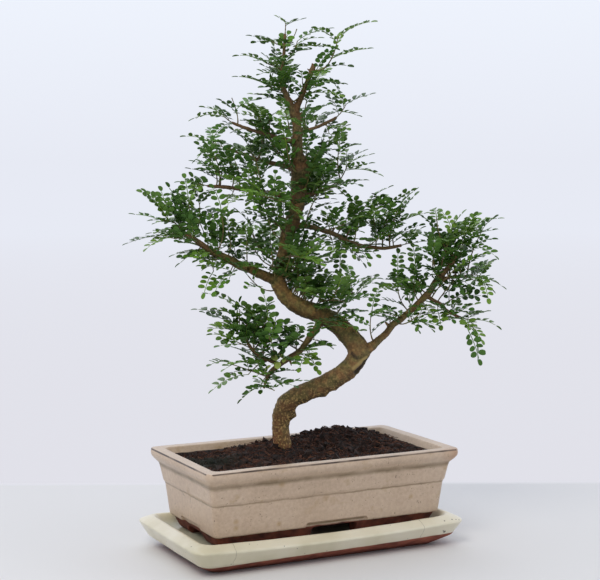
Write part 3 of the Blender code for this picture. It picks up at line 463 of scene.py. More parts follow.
def beigeGlaze():
    # Stoneware under a beige ash glaze, dipped and fired: satin, finely speckled, brown where it
    # runs thin on an edge, with painted shade in brown bands under the rim and ledge; the feet are bare
    # red-brown clay.
    tree, shader, material = newMaterial("beigeAshGlaze", 0.36)
    place = addNode(tree, "TexCoord").outputs["Object"]
    height = addNode(tree, "SeparateXYZ", {0: place}).outputs[2]
    cloud = addNode(tree, "TexNoise", {
        "Vector": place, "Scale": repeats(71.4), "Detail": 4.0, "Roughness": 0.5})
    glaze = addNode(tree, "ValToRGB", {0: cloud}, stops=[
        (0.36, "#bea790"), (0.5, "#c4ad96"), (0.64, "#c8b29c")])
    fine = addNode(tree, "TexNoise", {
        "Vector": place, "Scale": repeats(3.85), "Detail": 4.0, "Roughness": 0.7})
    mottle = addNode(tree, "ValToRGB", {0: fine}, stops=[(0.3, 0.43), (0.5, 0.5), (0.7, 0.57)])
    glaze = addNode(tree, "Mix", {0: 0.9, 6: glaze, 7: mottle}, data_type="RGBA", blend_type="OVERLAY")
    # Ochre iron stains.
    rust = addNode(tree, "TexNoise", {"Vector": place, "Scale": repeats(18.2), "Detail": 3.0})
    rusted = addNode(tree, "MapRange", {0: rust, 1: 0.6, 2: 0.74, 4: 0.5})
    glaze = addNode(tree, "Mix", {0: rusted, 6: glaze, 7: "#a08257"}, data_type="RGBA")
    frayed = addNode(tree, "TexNoise", {"Vector": place, "Scale": repeats(2.0), "Detail": 2.0})
    fray = addNode(tree, "VectorMath", {0: frayed.outputs["Color"], 1: (0.0012,) * 3, 2: place},
                   operation="MULTIPLY_ADD")
    offset = addNode(tree, "VectorMath", {0: fray, 1: (0.0006,) * 3}, operation="SUBTRACT").outputs[0]
    stained = addNode(tree, "MapRange", {0: nearestSpot(tree, offset, potPlan["stains"]), 1: 0.2, 2: 1.0,
                                         3: 0.5, 4: 0.0})
    glaze = addNode(tree, "Mix", {0: stained, 6: glaze, 7: "#a5844f"}, data_type="RGBA")
    scorched = tuple(value * mm for value in potPlan["scorch"])
    rimCorner = addNode(tree, "VectorMath", {0: place, 1: scorched}, operation="DISTANCE")
    scorch = addNode(tree, "MapRange", {0: rimCorner.outputs["Value"], 1: 0.004, 2: 0.022, 3: 0.4, 4: 0.0})
    glaze = addNode(tree, "Mix", {0: scorch, 6: glaze, 7: "#a86f42"}, data_type="RGBA")
    wander = addNode(tree, "TexNoise", {"Vector": place, "Scale": repeats(16.7), "Detail": 3.0})
    shift = addNode(tree, "MapRange", {0: wander, 3: -0.0016, 4: 0.0016})
    level = addNode(tree, "Math", {0: height, 1: shift}, operation="ADD")
    share = addNode(tree, "Math", {0: level, 1: 1 / (potPlan["rimHeight"] * mm)}, operation="MULTIPLY")
    # Painted shade, brown and patchy: bands on the body's rounded bottom edge, under the ledge, under the rim
    # and along the top of the arch's recess.
    shadeBands = addNode(tree, "ValToRGB", {0: share}, stops=[
        (0.335, 0.8), (0.352, 0.0), (0.642, 0.0), (0.656, 0.8), (0.668, 0.0), (0.81, 0.0),
        (0.842, 0.85), (0.858, 0.6), (0.885, 0.0)])
    archShading = addNode(tree, "Attribute", attribute_name="archShade").outputs["Fac"]
    bandAndArchShade = addNode(tree, "Math", {0: shadeBands.outputs[0], 1: archShading}, operation="MAXIMUM")
    patchy = addNode(tree, "TexNoise", {"Vector": place, "Scale": repeats(28.6), "Detail": 2.0})
    patches = addNode(tree, "MapRange", {0: patchy, 1: 0.35, 2: 0.6, 3: 0.6, 4: 1.0})
    poolingAndShade = addNode(tree, "Math", {0: bandAndArchShade, 1: patches}, operation="MULTIPLY")
    glaze = addNode(tree, "Mix", {0: poolingAndShade, 6: glaze, 7: "#6f5c3c"}, data_type="RGBA")
    specks = addNode(tree, "TexVoronoi", {"Vector": place, "Scale": repeats(2.38)})  # 0.5 mm iron specks
    dots = addNode(tree, "MapRange", {0: specks.outputs["Distance"], 1: 0.16, 2: 0.24, 3: 0.75, 4: 0.0})
    rare = addNode(tree, "TexNoise", {"Vector": place, "Scale": repeats(6.67), "Detail": 1.0})
    rarely = addNode(tree, "MapRange", {0: rare, 1: 0.55, 2: 0.66})
    speckle = addNode(tree, "Math", {0: dots, 1: rarely}, operation="MULTIPLY")
    glaze = addNode(tree, "Mix", {0: speckle, 6: glaze, 7: "#5a4630"}, data_type="RGBA")
    marks = nearestSpot(tree, offset, potPlan["chips"] + potPlan["scratches"])
    marked = addNode(tree, "MapRange", {0: marks, 1: 0.6, 2: 1.1, 3: 0.85, 4: 0.0})
    glaze = addNode(tree, "Mix", {0: marked, 6: glaze, 7: "#4a3a2c"}, data_type="RGBA")
    edge = addNode(tree, "Attribute", attribute_name="rimEdge").outputs["Fac"]
    worn = addNode(tree, "MapRange", {0: edge, 1: 0.6, 2: 0.8})
    wearing = addNode(tree, "Math", {0: worn, 1: patches}, operation="MULTIPLY")
    glaze = addNode(tree, "Mix", {0: wearing, 6: glaze, 7: "#4a3c33"}, data_type="RGBA")
    clayCloud = addNode(tree, "TexNoise", {"Vector": place, "Scale": repeats(11.1), "Detail": 5.0})
    clay = addNode(tree, "ValToRGB", {0: clayCloud}, stops=[(0.35, "#4a2219"), (0.65, "#7a3f2e")])
    glazed, bareClay = (value * mm for value in potPlan["glazeFoot"])
    bare = addNode(tree, "MapRange", {0: level, 1: glazed, 2: bareClay})
    colour = addNode(tree, "Mix", {0: bare, 6: glaze, 7: clay}, data_type="RGBA")
    tree.links.new(colour.outputs[2], shader.inputs["Base Color"])
    matt = addNode(tree, "MapRange", {0: bare, 3: 0.36, 4: 0.88})
    tree.links.new(matt.outputs[0], shader.inputs["Roughness"])
    grain = addNode(tree, "TexNoise", {"Vector": place, "Scale": repeats(3.85), "Detail": 3.0})
    bump = addNode(tree, "Bump", {"Strength": 0.25, "Distance": 0.0006, "Height": grain})
    tree.links.new(bump.outputs[0], shader.inputs["Normal"])
    return material


def creamGlaze():
    # The saucer's glossier cream glaze over the same clay: greener where it gathers on the floor inside the
    # rim, with painted shade there under the pot, pinholes on the lip, and a bare clay underside that shows
    # as a brown band.
    tree, shader, material = newMaterial("creamFeldsparGlaze", 0.28)
    place = addNode(tree, "TexCoord").outputs["Object"]
    split = addNode(tree, "SeparateXYZ", {0: place})
    cloud = addNode(tree, "TexNoise", {"Vector": place, "Scale": repeats(55.6), "Detail": 4.0})
    glaze = addNode(tree, "ValToRGB", {0: cloud}, stops=[
        (0.35, "#cdc6aa"), (0.5, "#dad3bb"), (0.65, "#e2dcc8")])
    inward = addNode(tree, "Attribute", attribute_name="inward").outputs["Fac"]
    # Painted shade, partly greener gathered glaze: the colour turns grey-green towards the floor inside the
    # rim, which lies under the pot.
    inside = addNode(tree, "MapRange", {0: inward, 1: 13.0, 2: 17.0})
    deepest = addNode(tree, "MapRange", {0: split.outputs[2], 1: 0.032, 2: 0.0225, 3: 0.05, 4: 0.6})
    poolingAndShade = addNode(tree, "Math", {0: inside, 1: deepest}, operation="MULTIPLY")
    glaze = addNode(tree, "Mix", {0: poolingAndShade, 6: glaze, 7: "#8f8f78"}, data_type="RGBA")
    # Pinholes of about 1 mm.
    holes = addNode(tree, "TexVoronoi", {"Vector": place, "Scale": repeats(10.53)})
    dots = addNode(tree, "MapRange", {0: holes.outputs["Distance"], 1: 0.04, 2: 0.075, 3: 0.9, 4: 0.0})
    marks = nearestSpot(tree, place, saucerPlan["pinholes"])
    marked = addNode(tree, "MapRange", {0: marks, 1: 0.7, 2: 1.1, 3: 0.9, 4: 0.0})
    dots = addNode(tree, "Math", {0: dots, 1: marked}, operation="MAXIMUM")
    glaze = addNode(tree, "Mix", {0: dots, 6: glaze, 7: "#3c342a"}, data_type="RGBA")
    crack = addNode(tree, "TexNoise", {"Vector": place, "Scale": repeats(9.09), "Detail": 2.0})
    bent = addNode(tree, "MapRange", {0: crack, 3: -0.003, 4: 0.003})
    along = addNode(tree, "Math", {0: split.outputs[0], 1: bent}, operation="ADD")
    front = addNode(tree, "MapRange", {0: split.outputs[1], 1: -0.07, 2: -0.075, 4: 0.5})
    for spot in saucerPlan["hairlines"]:
        beside = addNode(tree, "Math", {0: along, 1: spot * mm, 2: 0.35 * mm}, operation="COMPARE")
        cracked = addNode(tree, "Math", {0: beside, 1: front}, operation="MULTIPLY")
        glaze = addNode(tree, "Mix", {0: cracked, 6: glaze, 7: "#857b62"}, data_type="RGBA")
    wander = addNode(tree, "TexNoise", {"Vector": place, "Scale": repeats(33.3), "Detail": 3.0})
    shift = addNode(tree, "MapRange", {0: wander, 3: -0.0012, 4: 0.0012})
    tilt = addNode(tree, "Math", {0: split.outputs[0], 1: -0.018, 2: shift}, operation="MULTIPLY_ADD")
    level = addNode(tree, "Math", {0: split.outputs[2], 1: tilt}, operation="ADD")
    clayCloud = addNode(tree, "TexNoise", {"Vector": place, "Scale": repeats(14.3), "Detail": 5.0})
    clay = addNode(tree, "ValToRGB", {0: clayCloud}, stops=[(0.35, "#6e3526"), (0.65, "#9a5742")])
    glazed, bareClay = (value * mm for value in saucerPlan["glazeFoot"])
    bare = addNode(tree, "MapRange", {0: level, 1: glazed, 2: bareClay})
    colour = addNode(tree, "Mix", {0: bare, 6: glaze, 7: clay}, data_type="RGBA")
    tree.links.new(colour.outputs[2], shader.inputs["Base Color"])
    matt = addNode(tree, "MapRange", {0: bare, 3: 0.28, 4: 0.88})
    tree.links.new(matt.outputs[0], shader.inputs["Roughness"])
    grain = addNode(tree, "TexNoise", {"Vector": place, "Scale": repeats(8.33), "Detail": 2.0})
    bump = addNode(tree, "Bump", {"Strength": 0.2, "Distance": 0.0008, "Height": grain})
    tree.links.new(bump.outputs[0], shader.inputs["Normal"])
    return material


soilPlan = {
    "edgeHeight": 101.9, "halfLength": 133.0, "halfWidth": 67.0, "corner": 6.0, "gridX": 170, "gridY": 86,
    # Lumps of each size in mm and how far they rise, and how far in from the wall they are full.
    "lumps": [(13.0, 2.6), (5.5, 1.5), (2.4, 0.7)], "fadeIn": 14.0,
    # Mounds: middle x and y, reach along x and y, rise.
    "mounds": [
        (-38.0, 14.0, 42.0, 30.0, 11.0), (52.0, 30.0, 56.0, 28.0, 19.0), (-104.0, 52.0, 34.0, 24.0, -6.0),
    ],
    # The soil below its top follows the pot's inside: drop, half length, half width.
    "skirt": [(8.0, 130.7, 64.1), (43.0, 127.0, 58.6), (3.9, 124.4, 56.0)],
    "stemRadius": 8.8, "stemDepth": 60.0, "stemMiddle": 112.5, "clearOfStem": 8.5,
    "crumbs": 3600, "clods": 130, "fibres": 2200, "seed": 5,
    "crumbSize": 0.45, "crumbSpread": 1.7, "clodSize": (2.4, 5.6), "jag": 0.5,
    "fibreLength": (2.5, 10.0), "fibreHalf": (0.16, 0.42), "fibreLift": (0.2, 2.2), "fibreSteps": 4,
    # A dead root that curls up beside the trunk: its middle across and up, and its windings.
    "rootAcross": 10.5, "rootHeight": 111.5, "rootReach": 3.0, "rootHalf": 0.5, "rootSteps": 12,
    "rootFrom": -70.0, "rootTurn": 27.0, "rootTone": 0.3,
    "film": (-114.0, -4.0, 102.5),  # middle of a green film
}


def soilTop(x, y):
    plan = soilPlan
    toWall = min(plan["halfLength"] - abs(x), plan["halfWidth"] - abs(y))
    inward = min(1.0, max(0.0, toWall / plan["fadeIn"]))
    rise = sum(height * math.exp(-(((x - mx) / rx) ** 2) - ((y - my) / ry) ** 2)
               for mx, my, rx, ry, height in plan["mounds"])
    spot = Vector((x, y, 0.5))
    lumps = sum(lift * noise.noise(spot / size) for size, lift in plan["lumps"])
    return plan["edgeHeight"] + inward * (rise + lumps) + (1 - inward) * lumps * 0.25


def makeSoilBed(soil, stem):
    plan = soilPlan
    deselectAll()
    bpy.ops.mesh.primitive_grid_add(x_subdivisions=plan["gridX"], y_subdivisions=plan["gridY"], size=2)
    bed = bpy.context.object
    bed.name = "soilBed"
    corner = plan["corner"]
    for vertex in bed.data.vertices:
        x, y = vertex.co.x * plan["halfLength"], vertex.co.y * plan["halfWidth"]
        dx, dy = abs(x) - plan["halfLength"] + corner, abs(y) - plan["halfWidth"] + corner
        if dx > 0 and dy > 0:  # pulled in round the pot's inner corners
            pull = max(dx, dy) / math.hypot(dx, dy)
            x = math.copysign(abs(x) - dx + dx * pull, x)
            y = math.copysign(abs(y) - dy + dy * pull, y)
        vertex.co = Vector((x, y, soilTop(x, y))) * mm
    bpy.ops.object.mode_set(mode="EDIT")
    bpy.ops.mesh.select_all(action="SELECT")
    bpy.ops.mesh.region_to_loop()
    lastSize = (plan["halfLength"], plan["halfWidth"])
    for drop, halfLength, halfWidth in plan["skirt"]:
        bpy.ops.mesh.extrude_edges_move(TRANSFORM_OT_translate={"value": (0, 0, -drop * mm)})
        bpy.ops.transform.resize(
            value=(halfLength / lastSize[0], halfWidth / lastSize[1], 1), center_override=(0, 0, 0)
        )
        lastSize = (halfLength, halfWidth)
    bpy.ops.mesh.edge_face_add()
    bpy.ops.mesh.select_all(action="SELECT")
    bpy.ops.mesh.normals_make_consistent(inside=False)
    bpy.ops.object.mode_set(mode="OBJECT")
    deselectAll()
    bpy.ops.mesh.primitive_cylinder_add(
        vertices=32, radius=plan["stemRadius"] * mm, depth=plan["stemDepth"] * mm,
        location=(stem.x * mm, stem.y * mm, plan["stemMiddle"] * mm),
    )
    cutAway(bed, [bpy.context.object])
    finishPiece(bed, [soil], "potting_soil", "soil", angle=60)
    print("soil bed", len(bed.data.vertices))


def scatterCrumbs(points, faces, tones, stem, dice):
    plan = soilPlan
    deselectAll()
    bpy.ops.mesh.primitive_ico_sphere_add(subdivisions=1, radius=1.0)
    crumb = bpy.context.object
    crumbPoints = [vertex.co.copy() for vertex in crumb.data.vertices]
    crumbFaces = [tuple(face.vertices) for face in crumb.data.polygons]
    bpy.data.objects.remove(crumb)
    smallest, largest = plan["clodSize"]
    for number in range(plan["crumbs"] + plan["clods"]):
        x = dice.uniform(-1, 1) * (plan["halfLength"] - 3)
        y = dice.uniform(-1, 1) * (plan["halfWidth"] - 3)
        size = plan["crumbSize"] + plan["crumbSpread"] * dice.random() ** 2.6
        if number >= plan["crumbs"]:
            x, y, size = x * 0.92 - 6, y * 0.88, dice.uniform(smallest, largest)
        middle = Vector((x, y, soilTop(x, y) + size * dice.uniform(-0.2, 0.45)))
        if math.hypot(x - stem.x, y - stem.y) < plan["clearOfStem"]:
            continue
        wide, deep, tall = [size * dice.uniform(0.7, 1.3) for _ in range(3)]
        angle = dice.uniform(0, math.tau)
        spin = Matrix.Rotation(angle, 3, Vector([dice.gauss(0, 1) for _ in range(3)]))
        first = len(points)
        for point in crumbPoints:
            jag = 1 + plan["jag"] * dice.uniform(-1, 1)
            shaped = Vector((point.x * wide, point.y * deep, point.z * tall))
            points.append((middle + spin @ shaped * jag) * mm)
        faces += [tuple(first + corner for corner in face) for face in crumbFaces]
        tones += [dice.random() * (0.86 if size < smallest else 0.5)] * len(crumbPoints)


def layFibres(points, faces, tones, dice):  # chopped bark and coir, bent strips that lie on the soil
    plan = soilPlan
    steps = plan["fibreSteps"]
    for _ in range(plan["fibres"]):
        x = dice.uniform(-1, 1) * (plan["halfLength"] - 8)
        y = dice.uniform(-1, 1) * (plan["halfWidth"] - 8)
        length, half = dice.uniform(*plan["fibreLength"]), dice.uniform(*plan["fibreHalf"])
        heading = dice.uniform(0, math.tau)
        curl = dice.uniform(-0.25, 0.25)
        lift = dice.uniform(*plan["fibreLift"])
        tone = dice.uniform(0.72, 1.0)
        faces += barFaces(len(points), steps + 1, 4)
        for step in range(steps + 1):
            t = step / steps
            angle = heading + curl * step
            spot = Vector((x + length * t * math.cos(angle), y + length * t * math.sin(angle), 0))
            ground = max(soilTop(spot.x, spot.y), soilTop(x, y))
            spot.z = ground + 0.3 + lift * math.sin(math.pi * t) * 0.6
            side = Vector((-math.sin(angle), math.cos(angle), 0)) * half * (1 - 0.6 * abs(2 * t - 1))
            for part in (side, Vector((0, 0, half * 0.8)), -side, Vector((0, 0, -half * 0.8))):
                points.append((spot + part) * mm)
        tones += [tone] * 4 * (steps + 1)


def curlRoot(points, faces, tones):
    plan = soilPlan
    rings, half = plan["rootSteps"] + 1, plan["rootHalf"]
    faces += barFaces(len(points), rings, 4)
    for step in range(rings):
        angle = math.radians(plan["rootFrom"] + plan["rootTurn"] * step)
        for swell, rise in ((half, 0), (0, half), (-half, 0), (0, -half)):
            reach = plan["rootReach"] + swell - 0.06 * step
            points.append(toWorld(
                plan["rootAcross"] + reach * math.cos(angle), rise - 0.15 * step,
                plan["rootHeight"] + reach * math.sin(angle),
            ) * mm)
    tones += [plan["rootTone"]] * 4 * rings


def makeSoil():
    soil, stem = dampSoil(), toWorld(*trunkPoints[0][:3])
    makeSoilBed(soil, stem)
    dice = random.Random(soilPlan["seed"])
    points, faces, tones = [], [], []
    scatterCrumbs(points, faces, tones, stem, dice)
    layFibres(points, faces, tones, dice)
    curlRoot(points, faces, tones)
    crumbs = makeMesh("soilCrumbs", points, faces)
    layer = crumbs.data.attributes.new("crumbTone", "FLOAT", "POINT")
    layer.data.foreach_set("value", tones)
    finishPiece(crumbs, [soil], "potting_soil")
    print("soil crumbs", len(faces))


def dampSoil():
    # Damp peat and bark compost: nearly black, with reddish fibre and a green film at one end.
    tree, shader, material = newMaterial("dampPeatCompost", 0.92)
    place = addNode(tree, "TexCoord").outputs["Object"]
    cloud = addNode(tree, "TexNoise", {
        "Vector": place, "Scale": repeats(5.26), "Detail": 6.0, "Roughness": 0.7})
    earth = addNode(tree, "ValToRGB", {0: cloud}, stops=[
        (0.38, "#080403"), (0.5, "#1d0f0a"), (0.62, "#3d2116")])
    tone = addNode(tree, "Attribute", attribute_name="crumbTone").outputs["Fac"]
    shade = addNode(tree, "ValToRGB", {0: tone}, stops=[
        (0.0, "#000000"), (0.5, "#140a06"), (0.74, "#331c13"), (0.9, "#593527"), (1.0, "#8a5d42")])
    colour = addNode(tree, "Mix", {0: 0.8, 6: earth, 7: shade}, data_type="RGBA", blend_type="ADD")
    middle = tuple(value * mm for value in soilPlan["film"])
    spot = addNode(tree, "VectorMath", {0: place, 1: middle}, operation="DISTANCE")
    film = addNode(tree, "MapRange", {0: spot.outputs["Value"], 1: 0.014, 2: 0.044, 3: 0.8, 4: 0.0})
    colour = addNode(tree, "Mix", {0: film, 6: colour, 7: "#131d13"}, data_type="RGBA")
    tree.links.new(colour.outputs[2], shader.inputs["Base Color"])
    grit = addNode(tree, "TexNoise", {"Vector": place, "Scale": repeats(1.43), "Detail": 4.0})
    bump = addNode(tree, "Bump", {"Strength": 0.6, "Distance": 0.001, "Height": grit})
    tree.links.new(bump.outputs[0], shader.inputs["Normal"])
    return material


# The tree is laid out across its best side, away from the eye and up, in millimetres.
trunkPoints = [
    (-2, 0, 79, 8.4), (-2, 0, 94, 9.6), (-2, 0, 106, 9.8), (-4, 0, 117, 9.6),
    (-5, 0, 130, 9.4), (-4, -1, 142, 9.8), (1, -3, 153, 10.4), (10, -5, 161, 10.4),
    (20, -6, 166, 10.4), (31, -8, 171, 10.2), (42, -10, 176, 10.2), (53, -11, 182, 10.2),
    (64, -12, 189, 10.6), (73, -12, 197, 10.8), (79, -12, 207, 11.2), (78, -11, 218, 11.2),
    (71, -10, 228, 11.0), (62, -8, 237, 10.8), (52, -6, 245, 10.4), (40, -4, 251, 9.8),
    (28, -3, 256, 9.6), (15, -2, 261, 9.3), (4, 0, 269, 8.6), (-4, 2, 279, 7.9),
    (-6, 4, 291, 7.6), (-4, 5, 303, 7.5), (0, 6, 317, 7.5), (2, 6, 330, 7.6),
    (5, 6, 342, 7.8), (10, 6, 356, 8.0), (14, 5, 370, 8.0), (15, 4, 384, 8.0),
    (16, 3, 397, 8.4), (17, 2, 410, 8.4), (15, 1, 424, 6.6), (14, 0, 440, 5.4),
    (14, 0, 456, 5.0), (12, 0, 468, 5.2), (10, 0, 475, 4.4),
]
branches = {
    "leader": [
        (12, 0, 462, 4.2), (9, 0, 474, 4.0), (5, 0, 484, 3.4), (0, 2, 495, 2.8),
        (-3, 3, 508, 2.3), (0, 3, 524, 1.9), (1, 2, 542, 1.6), (2, 1, 554, 1.4),
    ],
    "fork": [
        (12, 0, 462, 4.4), (14, -1, 475, 3.8), (18, -3, 484, 3.3), (23, -6, 496, 3.0),
        (28, -8, 508, 2.8), (33, -9, 521, 2.8),
    ],
    "fork_stub": [(14, 0, 456, 3.2), (18, -2, 463, 2.8), (21, -3, 470, 2.4)],
    "left_main": [
        (-6, 4, 289, 5.8), (-16, 0, 292, 5.4), (-26, -4, 296, 5.2), (-37, -7, 302, 5.0),
        (-48, -10, 306, 4.8), (-60, -13, 313, 4.6), (-71, -16, 318, 4.2), (-80, -18, 323, 3.8),
        (-88, -20, 329, 3.2), (-97, -22, 336, 2.8), (-107, -24, 341, 2.4), (-113, -25, 349, 2.0),
    ],
    "mid_right": [
        (6, 6, 347, 3.4), (20, 7, 348, 3.1), (34, 10, 345, 2.9), (44, 13, 342, 2.8),
        (55, 16, 338, 2.8), (66, 19, 331, 2.8), (74, 21, 328, 2.7), (83, 23, 325, 2.5),
        (96, 25, 323, 2.2), (112, 26, 322, 1.9), (129, 26, 325, 1.6),
    ],
    "low_right": [
        (78, -11, 212, 5.0), (88, -12, 215, 4.7), (97, -10, 220, 4.2), (110, -7, 231, 3.8),
        (117, -5, 240, 3.6), (127, -3, 247, 3.4), (139, 0, 257, 3.4), (150, 3, 267, 3.6),
        (159, 6, 276, 3.8), (165, 8, 286, 3.6), (175, 10, 297, 3.2), (182, 12, 304, 3.0),
        (187, 14, 314, 2.4),
    ],
    "low_right_out": [
        (165, 8, 286, 2.4), (175, 11, 289, 2.1), (184, 14, 291, 1.9), (195, 18, 291, 1.7),
        (207, 22, 292, 1.5),
    ],
    "low_right_down": [
        (154, 4, 271, 2.2), (163, 4, 266, 2.0), (170, 4, 262, 1.9), (177, 2, 255, 1.8),
        (186, 0, 250, 1.7), (193, -2, 247, 1.5),
    ],
    "low_left": [
        (40, -4, 249, 4.6), (35, -8, 237, 4.1), (29, -12, 230, 3.7), (23, -17, 222, 3.5),
        (16, -22, 214, 3.3), (6, -26, 208, 3.1), (-6, -30, 200, 3.0), (-14, -33, 194, 2.8),
        (-19, -35, 189, 2.5),
    ],
    "low_left_stub": [(-17, -34, 191, 1.9), (-20, -35, 183, 1.5), (-22, -36, 176, 1.2)],
    "low_left_up": [
        (-6, -30, 201, 2.6), (-17, -30, 206, 2.3), (-26, -31, 210, 2.2), (-35, -32, 218, 2.0),
        (-41, -33, 229, 1.6),
    ],
    "up_left_front": [
        (14, 0, 438, 3.0), (-4, -6, 442, 2.5), (-23, -12, 448, 2.1), (-40, -17, 453, 1.8),
        (-55, -21, 459, 1.5),
    ],
    "up_left_back": [
        (16, 2, 409, 3.2), (-4, 10, 414, 2.7), (-28, 18, 419, 2.3), (-48, 25, 427, 1.9),
        (-64, 30, 432, 1.5),
    ],
    "mid_left": [
        (14, 4, 376, 3.4), (-6, -6, 382, 2.9), (-31, -15, 386, 2.5), (-57, -23, 390, 2.1),
        (-81, -30, 392, 1.6),
    ],
    "up_right": [
        (14, 0, 443, 2.4), (23, 2, 450, 2.1), (35, 5, 454, 1.9), (48, 8, 460, 1.7),
        (57, 10, 465, 1.4),
    ],
    "right": [
        (15, 4, 379, 2.8), (30, 12, 382, 2.3), (45, 19, 387, 2.0), (57, 25, 393, 1.7),
        (62, 28, 398, 1.4),
    ],
}
shoots = {
    "leader_top": ("leader", 1.0, [(-10, -5, 573), (25, 10, 570)]),
    "leader_wings": ("leader", 0.86, [(-40, -10, 550), (-25, 30, 547)]),
    "leader_right": ("leader", 0.74, [(55, 10, 560), (60, -20, 535), (30, 35, 540)]),
    "leader_left": ("leader", 0.6, [(-55, 5, 530), (-30, -35, 522)]),
    "leader_back": ("leader", 0.46, [(5, 60, 528), (-30, 55, 512)]),
    "leader_front": ("leader", 0.34, [(-55, -15, 508), (-15, -60, 500), (15, -55, 518)]),
    "leader_low": ("leader", 0.22, [(-40, 20, 490)]),
    "fork_tip": ("fork", 0.9, [(100, -20, 565), (72, 5, 560), (95, -35, 535)]),
    "fork_right": ("fork", 0.62, [(65, 25, 500), (50, 60, 520)]),
    "fork_front": ("fork", 0.42, [(45, -50, 500), (65, -25, 485)]),
    "up_right_tip": ("up_right", 1.0, [(100, 10, 490), (50, 20, 508), (85, 25, 465)]),
    "up_right_low": ("up_right", 0.72, [(60, -20, 430), (70, -40, 450)]),
    "up_right_back": ("up_right", 0.5, [(40, 60, 465), (65, 50, 450)]),
    "top_front": ("trunk", 0.93, [(30, -85, 472), (0, -80, 460), (50, -55, 478)]),
    "top_back": ("trunk", 0.9, [(-5, 85, 475), (30, 75, 482)]),
    "up_left_tip": ("up_left_front", 1.0, [(-90, -20, 475), (-100, -35, 460), (-75, -50, 440)]),
    "up_left_rise": ("up_left_front", 0.55, [(-45, -45, 478), (-20, -70, 470), (-30, 30, 478)]),
    "up_left_back_tip": ("up_left_back", 1.0, [(-115, 40, 445), (-100, 20, 415), (-85, 70, 455)]),
    "up_left_back_side": ("up_left_back", 0.6, [(-50, 95, 430), (-25, 85, 440), (-35, 70, 395)]),
    "mid_left_tip": ("mid_left", 1.0, [(-115, -40, 395), (-95, -60, 380), (-125, -15, 380)]),
    "mid_left_rise": ("mid_left", 0.86, [(-90, -20, 440), (-100, -40, 418)]),
    "mid_left_front": ("mid_left", 0.5, [(-60, -85, 368), (-70, -80, 405), (-35, -75, 415)]),
    "right_tip": ("right", 1.0, [(100, 30, 425), (110, 45, 400), (70, 60, 430)]),
    "right_low": ("right", 0.66, [(85, -10, 390), (75, 15, 370)]),
    "right_front": ("right", 0.35, [(50, -50, 412), (65, -55, 392)]),
    "mid_right_inner": ("mid_right", 0.33, [(45, -45, 362), (65, -30, 370)]),
    "mid_right_back": ("mid_right", 0.45, [(65, 60, 315), (90, 25, 300)]),
    "mid_right_rise": ("mid_right", 0.58, [(80, 5, 375), (95, -20, 365)]),
    "mid_right_crown": ("mid_right", 0.78, [(115, 50, 380), (95, 65, 375), (130, 60, 350)]),
    "mid_right_out": ("mid_right", 0.9, [(145, 15, 388), (158, 5, 362)]),
    "mid_right_tip": ("mid_right", 1.0, [(172, 20, 328), (150, 60, 340)]),
    "low_right_hang": ("low_right", 0.46, [(145, -25, 232), (165, 15, 230)]),
    "low_right_back": ("low_right", 0.52, [(115, 45, 290), (130, 70, 275)]),
    "low_right_front": ("low_right", 0.62, [(120, -15, 305), (95, -25, 280), (120, -50, 290)]),
    "low_right_rise": ("low_right", 0.8, [(145, -10, 360), (160, -50, 335)]),
    "low_right_crown": ("low_right", 0.92, [(170, 30, 365), (205, 45, 352), (180, 75, 330)]),
    "low_right_tip": ("low_right", 1.0, [(240, 10, 355), (210, 0, 362), (230, -20, 312)]),
    "low_right_out_tip": ("low_right_out", 1.0, [(245, 30, 275), (232, 60, 305), (222, -5, 262)]),
    "low_right_down_tip": ("low_right_down", 1.0, [(235, -10, 235), (210, -5, 200), (195, -50, 240)]),
    "low_left_tip": ("low_left", 1.0, [(-50, -40, 160), (-25, -70, 175)]),
    "low_left_side": ("low_left", 0.84, [(-80, -50, 172), (-65, -80, 200)]),
    "low_left_inner": ("low_left", 0.45, [(38, -48, 192), (15, -70, 198)]),
    "low_left_rise": ("low_left", 0.55, [(15, -60, 245), (-15, -5, 232)]),
    "low_left_up_tip": ("low_left_up", 1.0, [(-100, -30, 260), (-80, -60, 240), (-45, -35, 275)]),
    "left_tip": ("left_main", 1.0, [(-165, -30, 362), (-158, -15, 388), (-130, -50, 392)]),
    "left_out": ("left_main", 0.92, [(-170, -45, 330), (-145, -70, 325)]),
    "left_back": ("left_main", 0.84, [(-115, 30, 380), (-145, 20, 350)]),
    "left_hang": ("left_main", 0.74, [(-115, -35, 305), (-85, -70, 312)]),
    "left_rise": ("left_main", 0.5, [(-60, -30, 362), (-85, 0, 365), (-45, 30, 340)]),
    "left_down": ("left_main", 0.42, [(-75, -20, 282), (-75, -45, 275)]),
    "front_low": ("trunk", 0.665, [(35, -120, 315), (-10, -95, 330), (65, -70, 322)]),
    "front_mid": ("trunk", 0.785, [(-40, -120, 385), (15, -95, 395), (20, -80, 358)]),
    "back_low": ("trunk", 0.66, [(-30, 130, 345), (20, 110, 340), (-55, 90, 312)]),
    "back_mid": ("trunk", 0.82, [(55, 125, 420), (5, 110, 410), (70, 90, 388)]),
    "low_back": ("trunk", 0.455, [(105, 100, 282), (70, 110, 297), (45, 90, 280)]),
    "low_front": ("trunk", 0.5, [(95, -75, 275), (65, -105, 300), (15, -85, 285)]),
}


def smoothPath(points, steps):  # a rounded line through points of across, away, height, radius
    placed = [(toWorld(*point[:3]), point[3]) for point in points]
    path = []
    for index in range(len(placed) - 1):
        before = placed[max(0, index - 1)]
        start, end = placed[index], placed[index + 1]
        after = placed[min(len(placed) - 1, index + 2)]
        for step in range(steps):
            t = step / steps
            weights = (
                -0.5 * t + t * t - 0.5 * t**3, 1 - 2.5 * t * t + 1.5 * t**3,
                0.5 * t + 2 * t * t - 1.5 * t**3, -0.5 * t * t + 0.5 * t**3,
            )
            spot = Vector((0, 0, 0))
            for weight, (place, _) in zip(weights, (before, start, end, after)):
                spot += place * weight
            path.append((spot, start[1] + (end[1] - start[1]) * t))
    path.append(placed[-1])
    return path


